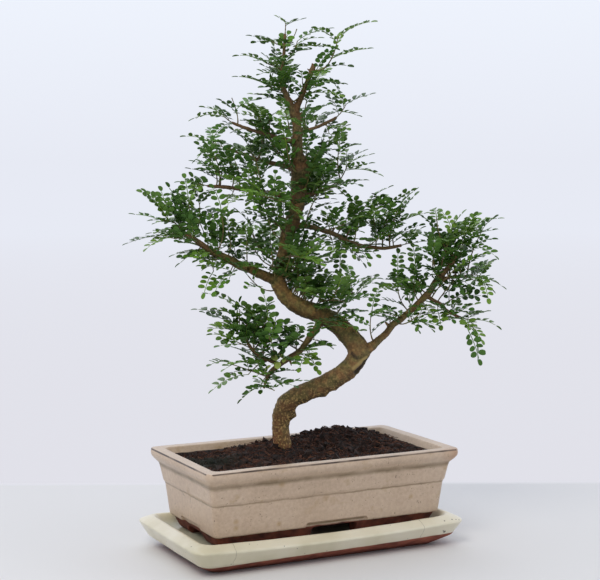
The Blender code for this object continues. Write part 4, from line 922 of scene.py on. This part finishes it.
def branchPoint(name, share):
    path = smoothPath(trunkPoints if name == "trunk" else branches[name], 4)
    lengths = [0.0]
    for (first, _), (second, _) in zip(path, path[1:]):
        lengths.append(lengths[-1] + (second - first).length)
    wanted = share * lengths[-1]
    for index in range(len(path) - 1):
        if lengths[index + 1] >= wanted - 1e-6:
            part = (wanted - lengths[index]) / (lengths[index + 1] - lengths[index])
            spot = path[index][0].lerp(path[index + 1][0], part)
            return spot, (path[index + 1][0] - path[index][0]).normalized(), path[index][1], lengths[-1]
    return path[-1][0], (path[-1][0] - path[-2][0]).normalized(), path[-1][1], lengths[-1]


woodPlan = {
    "grain": 0.9,  # size of the remeshed skin, in mm
    "barkRise": 0.55,
    # Burls and dents of the trunk: across, away, height, reach, rise.
    "bumps": [
        (9, -1, 141, 6.5, 7.5), (43, -10, 163, 5, 3.2), (56, -11, 169, 4, 3.0),
        (90, -14, 212, 10, 2.4), (74, -22, 212, 6, 1.8), (84, -23, 203, 6, -3.0),
        (26, -2, 410, 9, 4.5), (10, -4, 412, 9, 2.5), (-14, 3, 284, 6, 1.6),
    ],
    # Thorns and cut stubs left on the wood: branch, share of its length, turn, length, radius.
    "knobs": [
        ("mid_right", 0.22, 250, 5, 1.3), ("mid_right", 0.36, 80, 4, 1.2), ("mid_right", 0.62, 200, 5, 1.1),
        ("left_main", 0.3, 30, 4, 1.6), ("left_main", 0.55, 200, 5, 1.4), ("low_right", 0.3, 100, 5, 1.5),
        ("low_right", 0.55, 280, 4, 1.3), ("low_right", 0.8, 60, 5, 1.3), ("low_left", 0.3, 150, 5, 1.4),
        ("low_left", 0.65, 320, 6, 1.1), ("leader", 0.4, 90, 3, 0.9), ("fork", 0.5, 240, 3, 1.1),
        ("fork", 0.86, 90, 3, 1.0), ("trunk", 0.62, 30, 4, 1.8), ("trunk", 0.84, 240, 4, 1.7),
    ],
    # The healed wound: a sunken hollow with painted shade in it, the pale callus over it and a fold above
    # with painted shade, each between two ends; how far each is sunk or raised and how far that and its
    # colour reach.
    "hollow": ((78, -18, 191), (89, -14, 201.5)), "hollowRise": -4.6, "hollowReach": 3.2,
    "callus": ((74, -23, 195), (88, -20, 206.5)), "callusRise": 1.8, "callusReach": 2.0,
    "shade": ((71, -23, 213), (78, -23, 206.5)), "shadeColour": 3.4, "shadeStrength": 0.7,
    "hollowShadeReach": 5.2, "callusColour": 2.2,
    "treeHeight": 580.0,  # the bark's colours follow the height as a share of this
}


def growLimb(name, path):
    curve = bpy.data.curves.new(name, "CURVE")
    curve.dimensions = "3D"
    curve.bevel_depth = mm
    curve.bevel_resolution = 5
    curve.use_fill_caps = True
    line = curve.splines.new("POLY")
    line.points.add(len(path) - 1)
    for point, (spot, radius) in zip(line.points, path):
        point.co = (*(spot * mm), 1)
        point.radius = radius
    limb = bpy.data.objects.new(name, curve)
    bpy.context.scene.collection.objects.link(limb)
    makeActive(limb)
    bpy.ops.object.convert(target="MESH")
    return bpy.context.object


def lineDistance(point, ends):
    start, end = ends
    along = end - start
    share = min(1.0, max(0.0, (point - start).dot(along) / along.length_squared))
    return (point - start - along * share).length


def makeWood():
    plan = woodPlan
    paths = {"trunk": smoothPath(trunkPoints, 4)}
    for name, points in branches.items():
        paths[name] = smoothPath(points, 4)
    limbs = [growLimb(name, path) for name, path in paths.items()]
    for name, share, turn, length, radius in plan["knobs"]:
        spot, ahead, girth, _ = branchPoint(name, share)
        side = ahead.orthogonal().normalized()
        side.rotate(Matrix.Rotation(math.radians(turn), 3, ahead))
        tip = spot + side * (girth + length) + ahead * length * 0.5
        halfWay = spot.lerp(tip, 0.5)
        limbs.append(growLimb("knob", [(spot, radius * 1.5), (halfWay, radius), (tip, radius * 0.6)]))
    makeActive(limbs[0])
    for limb in limbs:
        limb.select_set(True)
    bpy.ops.object.join()
    wood = bpy.context.object
    wood.name = "barkedWood"
    wood.data.remesh_voxel_size = plan["grain"] * mm
    bpy.ops.object.voxel_remesh()
    applyModifier(wood, "SMOOTH", factor=0.5, iterations=3)
    tree = kdtree.KDTree(sum(len(path) for path in paths.values()))
    girths = []
    for path in paths.values():
        for spot, radius in path:
            tree.insert(spot, len(girths))
            girths.append(radius)
    tree.balance()
    bumps = [(toWorld(*place), reach, height) for *place, reach, height in plan["bumps"]]
    hollow = [toWorld(*place) for place in plan["hollow"]]
    callus = [toWorld(*place) for place in plan["callus"]]
    shade = [toWorld(*place) for place in plan["shade"]]

    def near(p, ends, reach, power=2):
        return math.exp(-((lineDistance(p, ends) / reach) ** power))

    def callusAt(p):
        return near(p, callus, plan["callusColour"], 4)

    def rise(p):
        girth = girths[tree.find(p)[1]]
        lift = sum(height * math.exp(-(((p - place).length / reach) ** 2)) for place, reach, height in bumps)
        lift += plan["hollowRise"] * near(p, hollow, plan["hollowReach"])
        lift += plan["callusRise"] * near(p, callus, plan["callusReach"])
        rough = noise.noise(p / 7) + 0.55 * noise.noise(p / 3) + 0.35 * noise.noise(p / 1.6)
        return lift + rough * plan["barkRise"] * min(1.6, 0.35 + girth / 6)

    pushOut(wood, rise)
    paint(wood, "girth", lambda p: girths[tree.find(p / mm)[1]])
    # Painted shade in the hollow and on the fold above it, less where the callus lies.
    paint(wood, "hollow", lambda p: max(
        near(p / mm, hollow, plan["hollowShadeReach"]),
        plan["shadeStrength"] * near(p / mm, shade, plan["shadeColour"])) - callusAt(p / mm))
    paint(wood, "callus", lambda p: callusAt(p / mm))
    print("wood", len(wood.data.vertices))
    return finishPiece(wood, [pepperBark()], "bark", "trunk", angle=70)


def pepperBark():
    # Living bark, never sanded or sealed: ochre flakes low down, olive algae half way, dark and
    # thin on the branches, with painted shade on the undersides; pores give it a matt, mottled look.
    tree, shader, material = newMaterial("livingPepperBark", 0.8)
    place = addNode(tree, "TexCoord").outputs["Object"]
    height = addNode(tree, "SeparateXYZ", {0: place}).outputs[2]
    wander = addNode(tree, "TexNoise", {"Vector": place, "Scale": repeats(22.2), "Detail": 4.0})
    shift = addNode(tree, "MapRange", {0: wander, 3: -0.03, 4: 0.03})
    level = addNode(tree, "Math", {0: height, 1: shift}, operation="ADD")
    share = addNode(tree, "Math", {0: level, 1: 1 / (woodPlan["treeHeight"] * mm)}, operation="MULTIPLY")
    body = addNode(tree, "ValToRGB", {0: share}, stops=[
        (0.185, "#87563a"), (0.215, "#7d5f3e"), (0.3, "#735c38"), (0.38, "#6c5c34"), (0.47, "#786836"),
        (0.56, "#6a5a30"), (0.68, "#5c4a2e"), (1.0, "#6c5439")])
    patches = addNode(tree, "TexNoise", {"Vector": place, "Scale": repeats(13.33), "Detail": 3.0})
    patched = addNode(tree, "ValToRGB", {0: patches}, stops=[
        (0.4, "#4a5424"), (0.5, "#6c5c34"), (0.6, "#7c4e2c")])
    body = addNode(tree, "Mix", {0: 0.4, 6: body, 7: patched}, data_type="RGBA")
    mottle = addNode(tree, "TexNoise", {
        "Vector": place, "Scale": repeats(4.17), "Detail": 5.0, "Roughness": 0.65})
    mottled = addNode(tree, "ValToRGB", {0: mottle}, stops=[(0.38, 0.3), (0.5, 0.5), (0.62, 0.85)])
    body = body.outputs[2]
    colour = addNode(tree, "Mix", {0: 0.75, 6: body, 7: mottled}, data_type="RGBA", blend_type="OVERLAY")
    # Painted shade: the bark turns dark brown where it faces down.
    facing = addNode(tree, "SeparateXYZ", {0: addNode(tree, "TexCoord").outputs["Normal"]}).outputs[2]
    undersideShade = addNode(tree, "MapRange", {0: facing, 1: 0.0, 2: -0.85, 4: 0.62})
    colour = addNode(tree, "Mix", {0: undersideShade, 6: colour, 7: "#1d160c"}, data_type="RGBA")
    flakes = addNode(tree, "TexNoise", {"Vector": place, "Scale": repeats(2.38), "Detail": 2.0})
    flake = addNode(tree, "MapRange", {0: flakes, 1: 0.54, 2: 0.62, 4: 0.9})
    lowDown = addNode(tree, "MapRange", {0: height, 1: 0.20, 2: 0.15, 3: 0.16, 4: 1.0})
    flaking = addNode(tree, "Math", {0: flake, 1: lowDown}, operation="MULTIPLY")
    colour = addNode(tree, "Mix", {0: flaking, 6: colour, 7: "#bb9a60"}, data_type="RGBA")
    thin = addNode(tree, "Attribute", attribute_name="girth").outputs["Fac"]
    thinness = addNode(tree, "MapRange", {0: thin, 1: 4.2, 2: 2.4, 4: 0.75})
    colour = addNode(tree, "Mix", {0: thinness, 6: colour, 7: "#6d5338"}, data_type="RGBA")
    callus = addNode(tree, "Attribute", attribute_name="callus").outputs["Fac"]
    paler = addNode(tree, "Math", {0: callus, 1: 0.85}, operation="MULTIPLY")
    colour = addNode(tree, "Mix", {0: paler, 6: colour, 7: "#a08c58"}, data_type="RGBA")
    # Painted shade: the wound's hollow and the fold above it turn near black.
    hollow = addNode(tree, "Attribute", attribute_name="hollow").outputs["Fac"]
    hollowShading = addNode(tree, "MapRange", {0: hollow, 1: 0.35, 2: 0.75, 4: 0.9})
    colour = addNode(tree, "Mix", {0: hollowShading, 6: colour, 7: "#1a120c"}, data_type="RGBA")
    tree.links.new(colour.outputs[2], shader.inputs["Base Color"])
    grain = addNode(tree, "TexNoise", {"Vector": place, "Scale": repeats(1.923), "Detail": 4.0})
    bump = addNode(tree, "Bump", {"Strength": 0.55, "Distance": 0.0008, "Height": grain})
    tree.links.new(bump.outputs[0], shader.inputs["Normal"])
    return material


leafPlan = {
    "leaflet": (7.0, 9.8), "breadth": 0.7, "thickness": 0.34, "fold": 0.2, "pitch": 6.3,
    "petiole": 0.13, "endLeaflet": 8.0, "nodeGap": 8.5, "nodeLeaf": (26.0, 46.0), "seed": 21,
    "ribHalf": 0.55, "ribTaper": 0.22, "sweep": (8, 26), "roll": 0.22, "toneScatter": 0.18,
    "endDroop": (24, 56), "endTilt": 18, "longestEndLeaf": 46.0, "bareLeaf": 65.0,
    # Side twigs: how far apart on each branch, their length, how far their leaves may reach.
    "fillGap": 6.0, "fillGaps": {
        "leader": 36.0, "fork": 50.0, "fork_stub": 60.0, "up_right": 34.0, "up_left_front": 26.0,
        "up_left_back": 18.0, "mid_left": 10.0, "right": 14.0, "low_right": 18.0, "low_right_out": 7.0,
        "low_right_down": 5.0, "mid_right": 10.0, "trunk": 5.0, "low_left": 15.0, "low_left_up": 7.5,
        "left_main": 8.5,
    },
    "fillTwig": (20.0, 52.0), "fillReach": 27.0, "wideReach": {"low_left_up": 36.0},
    # Leaflets are larger in the shade, low on the tree.
    "broader": {"low_left": 1.25, "low_left_up": 1.3, "low_right_down": 1.15, "left_main": 1.05},
    "sparseShoots": {
        "leader": 14.0, "fork": 14.0, "up_right": 13.0, "up_left_front": 13.0, "low_right": 10.0,
    },
    # The trunk's own twigs grow above this share of it and below this height in mm.
    "fillFrom": 0.12, "trunkFillFrom": 0.56, "trunkFillTop": 428.0,
    # Heights between which the trunk's own twigs grow towards the viewer and hide it, in mm.
    "hiddenTrunk": [(326, 350), (380, 422)],
    # Twigs beyond the shoots: share of the branch, then where each ends, as for the shoots.
    "crownTwigs": {
        "trunk": [
            (0.5, (42, -48, 262)), (0.52, (22, -62, 296)), (0.53, (58, -34, 300)), (0.55, (36, -40, 318)),
            (0.49, (74, -22, 272)), (0.56, (30, 52, 300)), (0.54, (64, 24, 312)), (0.6, (40, -52, 334)),
            (0.57, (52, 0, 330)), (0.47, (60, -52, 246)), (0.6, (-30, -50, 326)), (0.72, (-40, -42, 368)),
            (0.55, (60, -30, 320)), (0.53, (68, -40, 290)), (0.42, (70, -48, 244)), (0.41, (86, -42, 238)),
            (0.56, (50, -8, 316)), (0.55, (56, 20, 308)), (0.54, (48, -58, 318)), (0.52, (54, -20, 292)),
            (0.51, (62, 10, 286)), (0.5, (68, -50, 280)), (0.43, (64, -52, 254)), (0.44, (76, -46, 254)),
        ],
        "left_main": [
            (0.8, (-134, -10, 334)), (0.66, (-106, -40, 316)), (0.7, (-114, -5, 330)), (0.5, (-90, -30, 308)),
            (0.9, (-138, -44, 336)), (0.6, (-98, -52, 318)), (0.45, (-70, -44, 302)), (0.55, (-86, -46, 304)),
            (0.9, (-148, -20, 340)), (0.4, (-60, -42, 288)), (0.62, (-86, -40, 272)), (0.3, (-42, -46, 350)),
        ],
        "low_left_up": [
            (0.9, (-88, -30, 278)), (0.7, (-78, -42, 262)), (0.95, (-92, -12, 256)), (0.6, (-58, -44, 272)),
            (0.85, (-74, -52, 222)), (0.75, (-82, -56, 236)),
        ],
        "low_left": [(0.3, (52, -40, 218)), (0.5, (34, -62, 214)), (0.1, (56, -22, 232)),
                     (0.35, (34, -40, 194))],
        "low_right": [(0.3, (112, -26, 262)), (0.42, (92, -34, 252)), (0.55, (144, -30, 258)),
                      (0.6, (156, -34, 250))],
        "low_right_down": [(0.6, (200, -20, 252)), (0.8, (214, 0, 262)), (0.9, (206, -30, 230)),
                           (0.5, (182, -30, 244)), (0.3, (168, -28, 236)), (0.95, (212, -40, 222))],
        "low_right_out": [(0.6, (202, 0, 268)), (0.8, (230, 10, 272)), (0.9, (216, -20, 286)),
                          (0.4, (192, -18, 274)), (0.5, (206, 30, 276))],
        "mid_right": [(0.55, (92, -10, 314)), (0.64, (104, 0, 312)), (0.45, (76, -16, 312)),
                      (0.6, (92, -16, 304)), (0.35, (54, -30, 314))],
        "leader": [(0.4, (2, -26, 512)), (0.6, (12, -22, 530)), (0.8, (-4, -18, 548)), (0.3, (-24, -26, 504)),
                   (0.15, (-18, -30, 486))],
        "fork": [(0.5, (18, -34, 512)), (0.3, (40, -24, 492))],
        "up_left_front": [(0.6, (-36, -34, 460)), (0.4, (-22, -34, 470)), (0.8, (-56, -24, 446))],
        "up_left_back": [(0.5, (-36, -18, 440)), (0.6, (-50, -6, 446))],
        "mid_left": [(0.7, (-62, -36, 374)), (0.5, (-46, -42, 386)), (0.4, (-40, -30, 370))],
        "right": [(0.5, (46, -32, 378)), (0.3, (36, -36, 392))],
    },
    # No leaf hangs before the trunk here: across, height, reach, in mm.
    "windows": [
        (10, 262, 13), (-2, 284, 8), (-1, 318, 7), (10, 364, 9), (14, 456, 13), (5, 484, 8), (24, 490, 9),
    ],
    # A leaf that has yellowed and one that hangs with its face to the viewer: foot, tip, droop
    # and tilt in radians, youth.
    "oddLeaves": {
        "low_left": ((3, -44, 210), (-20, -48, 198), 0.5, 0.6, 2.0),
        "low_right_down": ((196, -34, 238), (209, -38, 200), 0.3, 1.3, 0.1),
    },
}


def modelLeaflet():
    # An oval lens along x from its stalk at zero, folded a little along the midrib.
    deselectAll()
    bpy.ops.mesh.primitive_uv_sphere_add(segments=12, ring_count=2, radius=0.5)
    leaflet = bpy.context.object
    leaflet.name = "leafletPattern"
    leaflet.scale = (1, leafPlan["breadth"], leafPlan["thickness"] / 8)
    leaflet.location = (0.5, 0, 0)
    bpy.ops.object.transform_apply(location=True, rotation=True, scale=True)
    pattern = []
    for vertex in leaflet.data.vertices:
        x, y, z = vertex.co
        pole = abs(z) > 0.001
        fuller = 1 + 0.16 * (x - 0.5)
        lift = leafPlan["fold"] * abs(y) - 0.16 * (x - 0.5) ** 2
        pattern.append((Vector((x, y * fuller, z + lift)), pole and z < 0, pole or abs(y) < 0.001))
    faces = [tuple(face.vertices) for face in leaflet.data.polygons]
    bpy.data.objects.remove(leaflet)
    return pattern, faces


def newSpray(branch):
    return {"grow": leafPlan["broader"].get(branch, 1.0), "points": [], "faces": [], "kinds": [],
            "leafTone": [], "youth": [], "underside": [], "midrib": []}


def addPart(spray, points, faces, kind, tone, youth, under=None, rib=None):
    first = len(spray["points"])
    spray["points"] += points
    spray["faces"] += [tuple(first + corner for corner in face) for face in faces]
    spray["kinds"] += [kind] * len(faces)
    spray["leafTone"] += [tone] * len(points)
    spray["youth"] += [youth] * len(points)
    spray["underside"] += under or [0.0] * len(points)
    spray["midrib"] += rib or [0.0] * len(points)


def archedRib(start, end, droop, shares):
    chord = end - start
    level = Vector((chord.x, chord.y, 0))
    if level.length < 1.0:
        level = Vector((1, 0, 0))
    level.normalize()
    pitch = math.atan2(chord.z, Vector((chord.x, chord.y, 0)).length)
    radius = chord.length / (2 * math.sin(droop / 2))
    first = pitch + droop / 2
    stations = []
    for share in shares:
        turned = first - droop * share
        along = radius * (math.sin(first) - math.sin(turned))
        lift = radius * (math.cos(turned) - math.cos(first))
        ahead = level * math.cos(turned) + Vector((0, 0, math.sin(turned)))
        sideways = level.cross(Vector((0, 0, 1)))
        spot = start + level * along + Vector((0, 0, lift))
        stations.append((spot, ahead, sideways, sideways.cross(ahead)))
    return stations


def addBar(spray, rings, kind, tone, youth):
    points = [point for ring in rings for point in ring]
    addPart(spray, points, barFaces(0, len(rings), len(rings[0])), kind, tone, youth)


def addLeaf(spray, pattern, foot, tip, droop, tilt, youth, dice):
    length = (tip - foot).length
    grow = spray["grow"]
    pairs = max(2, round((length - 10) / (leafPlan["pitch"] * grow)))
    petiole, last = leafPlan["petiole"], 1 - leafPlan["endLeaflet"] / length
    shares = [petiole + (last - petiole) * index / pairs for index in range(pairs + 1)]
    stations = archedRib(foot, tip, droop, [0.0] + shares)
    turned = []
    for spot, ahead, sideways, up in stations:
        turned.append((spot, ahead, sideways * math.cos(tilt) + up * math.sin(tilt),
                       up * math.cos(tilt) - sideways * math.sin(tilt)))
    rings = []
    for index, (spot, ahead, sideways, up) in enumerate(turned):
        half = leafPlan["ribHalf"] - leafPlan["ribTaper"] * index / len(turned)
        rings.append([spot + sideways * half, spot + up * half * 0.7,
                      spot - sideways * half, spot - up * half * 0.7])
    tone = dice.random()
    addBar(spray, rings, 0, tone, min(1.0, youth + 0.25))
    leaflets, faces = pattern
    spots = []
    for index, (spot, ahead, sideways, up) in enumerate(turned[1:-1]):
        size = dice.uniform(*leafPlan["leaflet"]) * grow * (0.82 if index == 0 else 1.0)
        for side in (-1, 1):
            lean = math.radians(dice.uniform(*leafPlan["sweep"]))
            out = sideways * side * math.cos(lean) + ahead * math.sin(lean) + up * dice.uniform(0.02, 0.3)
            spots.append((spot, out.normalized(), up, size * dice.uniform(0.92, 1.06)))
    spot, ahead, sideways, up = turned[-1]
    out = (ahead + up * dice.uniform(-0.1, 0.1)).normalized()
    spots.append((spot, out, up, leafPlan["endLeaflet"] + 0.6))
    for spot, out, up, size in spots:
        roll = dice.gauss(0, leafPlan["roll"])
        level = (up - out * up.dot(out)).normalized()
        beside = level.cross(out)
        flat = level * math.cos(roll) + beside * math.sin(roll)
        across = beside * math.cos(roll) - level * math.sin(roll)
        base = spot + out * 0.3
        points = [base + (out * p.x + across * p.y + flat * p.z) * size for p, _, _ in leaflets]
        under = [1.0 if below else (0.0 if pole and 0.2 < p.x < 0.8 else 0.5) for p, below, pole in leaflets]
        shade = tone + dice.uniform(-leafPlan["toneScatter"], leafPlan["toneScatter"])
        addPart(spray, points, faces, 0, min(1.0, max(0.0, shade)), youth,
                under, [1.0 if pole else 0.0 for _, _, pole in leaflets])


def addEndLeaf(spray, pattern, foot, tip, dice):
    droop = math.radians(dice.uniform(*leafPlan["endDroop"]))
    tilt = math.radians(dice.uniform(-leafPlan["endTilt"], leafPlan["endTilt"]))
    addLeaf(spray, pattern, foot, tip, droop, tilt, dice.uniform(0.2, 1.0), dice)


def addTwig(spray, path, thick, youth):
    rings, side = [], None
    for index, spot in enumerate(path):
        ahead = (path[min(len(path) - 1, index + 1)] - path[max(0, index - 1)]).normalized()
        side = side or ahead.orthogonal()
        side = (side - ahead * side.dot(ahead)).normalized()
        other = ahead.cross(side)
        toEnd = (path[-1] - spot).length
        half = 0.5 + thick * toEnd + 0.12 * math.sin(index * 2.4)
        rings.append([spot + (side * math.cos(a) + other * math.sin(a)) * half
                      for a in [math.tau * step / 6 for step in range(6)]])
    addBar(spray, rings, 1, 0.5, youth)


def bow(start, control, end, steps):
    return [start * (1 - t) ** 2 + control * 2 * t * (1 - t) + end * t * t
            for t in [step / steps for step in range(steps + 1)]]


def clearOfTrunk(foot, tip):  # leaves are kept off the front of the trunk where it is seen
    for share in (0.3, 0.6, 0.95):
        offset = foot.lerp(tip, share) - treeFoot
        across = offset.x * math.cos(treeTurn) - offset.y * math.sin(treeTurn)
        away = offset.x * math.sin(treeTurn) + offset.y * math.cos(treeTurn)
        for middle, height, reach in leafPlan["windows"]:
            if away < 2 and math.hypot(across - middle, offset.z - height) < reach:
                return False
    return True


def insideBox(spot, margin):
    low, high = cadBox
    return all(l / mm + margin < value < h / mm - margin for l, value, h in zip(low, spot, high))


def nodeLeaves(spray, pattern, path, youth, dice, allowed, gap=leafPlan["nodeGap"]):
    # Leaves set singly along a twig, each a golden angle round from the one before.
    length = sum((b - a).length for a, b in zip(path, path[1:]))
    turn = dice.uniform(0, math.tau)
    along = dice.uniform(3, 7)
    while along < length - 2:
        share = along / length * (len(path) - 1)
        index = min(int(share), len(path) - 2)
        spot = path[index].lerp(path[index + 1], share - index)
        ahead = (path[index + 1] - path[index]).normalized()
        side = ahead.orthogonal().normalized()
        side.rotate(Matrix.Rotation(turn, 3, ahead))
        out = side * 0.95 + ahead * 0.45
        out = Vector((out.x, out.y, 0.35 * out.z + 0.2)).normalized()
        reach = dice.uniform(*leafPlan["nodeLeaf"])
        tip = spot + out * reach
        if insideBox(tip, 7) and allowed(tip) and clearOfTrunk(spot, tip):
            addLeaf(spray, pattern, spot, tip, math.radians(dice.uniform(24, 54)),
                    math.radians(dice.gauss(0, 13)), youth * along / length, dice)
        turn += math.radians(137.5)
        along += gap * dice.uniform(0.8, 1.2)


def twigTo(spray, pattern, root, way, tip, gap, dice):
    # A twig with leaves along it, and a last leaf that ends at the tip, flatter than the twig.
    reach = tip - root
    leaf = min(leafPlan["longestEndLeaf"], reach.length * 0.7)
    level = reach.normalized()
    level.z = min(0.35, max(-0.5, level.z))
    end = tip - level.normalized() * leaf + Vector((0, 0, 0.06 * leaf))
    long = (end - root).length
    twig = bow(root, root + way * long * 0.45 + Vector((0, 0, long * 0.08)), end, 8)
    addTwig(spray, twig, 0.009, 0.5)
    nodeLeaves(spray, pattern, twig, 0.8, dice, lambda tip: True, gap)
    addEndLeaf(spray, pattern, end, tip, dice)
    return twig


def titled(name):
    return "".join(word.title() for word in name.split("_"))


def finishSpray(spray, name, materials, *nodes):
    low, high = cadBox
    points = [Vector([min(max(value * mm, l), h) for l, value, h in zip(low, point, high)])
              for point in spray["points"]]
    piece = makeMesh(name, points, spray["faces"])
    piece.data.polygons.foreach_set("material_index", spray["kinds"])
    for key in ("leafTone", "youth", "underside", "midrib"):
        layer = piece.data.attributes.new(key, "FLOAT", "POINT")
        layer.data.foreach_set("value", spray[key])
    finishPiece(piece, materials, "leaf_green", *nodes, angle=50)
    piece.data.polygons.foreach_set("material_index", spray["kinds"])
    return piece


def makeSprays(pattern, materials):
    dice = random.Random(leafPlan["seed"])
    segments = []
    count = 0
    for name, (branch, share, tips) in shoots.items():
        spray = newSpray(branch)
        tips = [toWorld(*tip) for tip in tips]
        spot, ahead, radius, _ = branchPoint(branch, share)
        if share >= 1.0:
            start, heading = spot - ahead * 0.5, ahead
        else:
            heading = tips[0] - spot
            heading = (heading - ahead * heading.dot(ahead)).normalized()
            start = spot + heading * (radius - 0.6)
        path = None
        gap = leafPlan["sparseShoots"].get(branch, leafPlan["nodeGap"])
        for tip in tips:
            root, way = start, heading
            if path:
                nearest = min(range(1, len(path)), key=lambda i: (path[i] - tip).length)
                root = path[max(1, nearest - 2)]
                way = (tip - root).normalized()
            if path and (tip - root).length < leafPlan["bareLeaf"]:
                addEndLeaf(spray, pattern, root, tip, dice)
            else:
                twig = twigTo(spray, pattern, root, way, tip, gap, dice)
                path = path or twig
            segments.append((root, tip))
        finishSpray(spray, "spray" + titled(name), materials, name)
        count += len(spray["faces"])
    print("sprays", count)
    return segments


def fillBranch(branch, pattern, segments, dice):
    # The finer twigs of one branch, kept near its shoots so that the crown keeps its outline.
    plan = leafPlan
    spray = newSpray(branch)
    length = branchPoint(branch, 1.0)[3]
    begin = plan["trunkFillFrom"] if branch == "trunk" else plan["fillFrom"]
    near = plan["wideReach"].get(branch, plan["fillReach"])
    allowed = lambda tip: any(lineDistance(tip, ends) < near for ends in segments)
    steps = int(length * (1 - begin) / plan["fillGaps"].get(branch, plan["fillGap"]))
    for step in range(steps):
        share = begin + (1 - begin) * (step + dice.random()) / steps
        spot, ahead, radius, _ = branchPoint(branch, share)
        if branch == "trunk" and spot.z > plan["trunkFillTop"]:
            continue
        side = ahead.orthogonal().normalized()
        side.rotate(Matrix.Rotation(dice.uniform(0, math.tau), 3, ahead))
        if side.z < -0.2:
            side = -side
        if branch == "trunk" and any(low < spot.z < high for low, high in plan["hiddenTrunk"]):
            side = (toWorld(dice.uniform(-1.3, 1.3), -1, 0.2) - treeFoot).normalized()
        start = spot + side * (radius - 0.6)
        long = dice.uniform(*plan["fillTwig"])
        end = start + (side * 0.85 + ahead * 0.3 + Vector((0, 0, 0.3))).normalized() * long
        twig = bow(start, start + side * long * 0.5, end, 6)
        if not insideBox(end, 10) or not allowed(end):
            continue
        addTwig(spray, twig, 0.008, 0.4)
        nodeLeaves(spray, pattern, twig, 0.5, dice, allowed)
        out = (twig[-1] - twig[-2]).normalized()
        out.z = 0.35 * out.z + 0.1
        tip = end + out.normalized() * dice.uniform(26, 42)
        if insideBox(tip, 7) and allowed(tip) and clearOfTrunk(end, tip):
            addLeaf(spray, pattern, end, tip, math.radians(dice.uniform(28, 58)),
                    math.radians(dice.gauss(0, 14)), dice.uniform(0.1, 0.8), dice)
    for share, tip in plan["crownTwigs"].get(branch, ()):
        spot, ahead, radius, _ = branchPoint(branch, share)
        way = (toWorld(*tip) - spot).normalized()
        dice = random.Random(int(sum(tip)))
        twigTo(spray, pattern, spot + way * (radius - 0.6), way, toWorld(*tip), plan["nodeGap"], dice)
    if branch in plan["oddLeaves"]:
        foot, tip, droop, tilt, youth = plan["oddLeaves"][branch]
        addLeaf(spray, pattern, toWorld(*foot), toWorld(*tip), droop, tilt, youth, dice)
    return spray


def makeFoliage():
    pattern = modelLeaflet()
    materials = [pepperLeaf(), youngTwig()]
    segments = makeSprays(pattern, materials)
    total = 0
    for branch in ["trunk", *branches]:
        spray = fillBranch(branch, pattern, segments, random.Random(leafPlan["seed"]))
        if spray["faces"]:
            finishSpray(spray, "leavesAlong" + titled(branch), materials)
            total += len(spray["faces"])
    print("leaves along the branches", total)


def pepperLeaf():
    # A waxy evergreen leaflet, dark blue-green with age and yellower when young: glossy above,
    # matt and paler beneath, with a lighter midrib.
    tree, shader, material = newMaterial("waxyPepperLeaf", 0.36)
    shader.inputs["Specular IOR Level"].default_value = 0.16
    place = addNode(tree, "TexCoord").outputs["Object"]
    tone = addNode(tree, "Attribute", attribute_name="leafTone").outputs["Fac"]
    old = addNode(tree, "ValToRGB", {0: tone}, stops=[
        (0.0, "#0f2609"), (0.4, "#1d3f0d"), (0.75, "#386318"), (1.0, "#5a8822")])
    youth = addNode(tree, "Attribute", attribute_name="youth").outputs["Fac"]
    younger = addNode(tree, "MapRange", {0: youth, 1: 0.25, 2: 1.0, 4: 0.75})
    colour = addNode(tree, "Mix", {0: younger, 6: old, 7: "#80a034"}, data_type="RGBA")
    fading = addNode(tree, "MapRange", {0: youth, 1: 1.5, 2: 2.0, 4: 0.85})
    colour = addNode(tree, "Mix", {0: fading, 6: colour, 7: "#b4bb68"}, data_type="RGBA")
    under = addNode(tree, "Attribute", attribute_name="underside").outputs["Fac"]
    beneath = addNode(tree, "MapRange", {0: under, 1: 0.5, 2: 0.54})
    paler = addNode(tree, "Math", {0: beneath, 1: 0.5}, operation="MULTIPLY")
    colour = addNode(tree, "Mix", {0: paler, 6: colour, 7: "#3e6030"}, data_type="RGBA")
    rib = addNode(tree, "Attribute", attribute_name="midrib").outputs["Fac"]
    ribbed = addNode(tree, "MapRange", {0: rib, 1: 0.88, 2: 1.0, 4: 0.35})
    colour = addNode(tree, "Mix", {0: ribbed, 6: colour, 7: "#5f8440"}, data_type="RGBA")
    tree.links.new(colour.outputs[2], shader.inputs["Base Color"])
    matt = addNode(tree, "MapRange", {0: beneath, 3: 0.34, 4: 0.65})
    tree.links.new(matt.outputs[0], shader.inputs["Roughness"])
    veins = addNode(tree, "TexNoise", {"Vector": place, "Scale": repeats(1.11), "Detail": 2.0})
    bump = addNode(tree, "Bump", {"Strength": 0.2, "Distance": 0.0004, "Height": veins})
    tree.links.new(bump.outputs[0], shader.inputs["Normal"])
    return material


def youngTwig():
    # Thin green-brown bark of the last two seasons, smooth and half matt.
    tree, shader, material = newMaterial("youngTwigBark", 0.6)
    place = addNode(tree, "TexCoord").outputs["Object"]
    cloud = addNode(tree, "TexNoise", {"Vector": place, "Scale": repeats(7.69), "Detail": 3.0})
    colour = addNode(tree, "ValToRGB", {0: cloud}, stops=[
        (0.35, "#5c4830"), (0.55, "#6d6238"), (0.7, "#7f7d44")])
    tree.links.new(colour.outputs[0], shader.inputs["Base Color"])
    return material


makePot()
makeSaucer()
makeSoil()
makeWood()
makeFoliage()
setStudio()
setCamera()
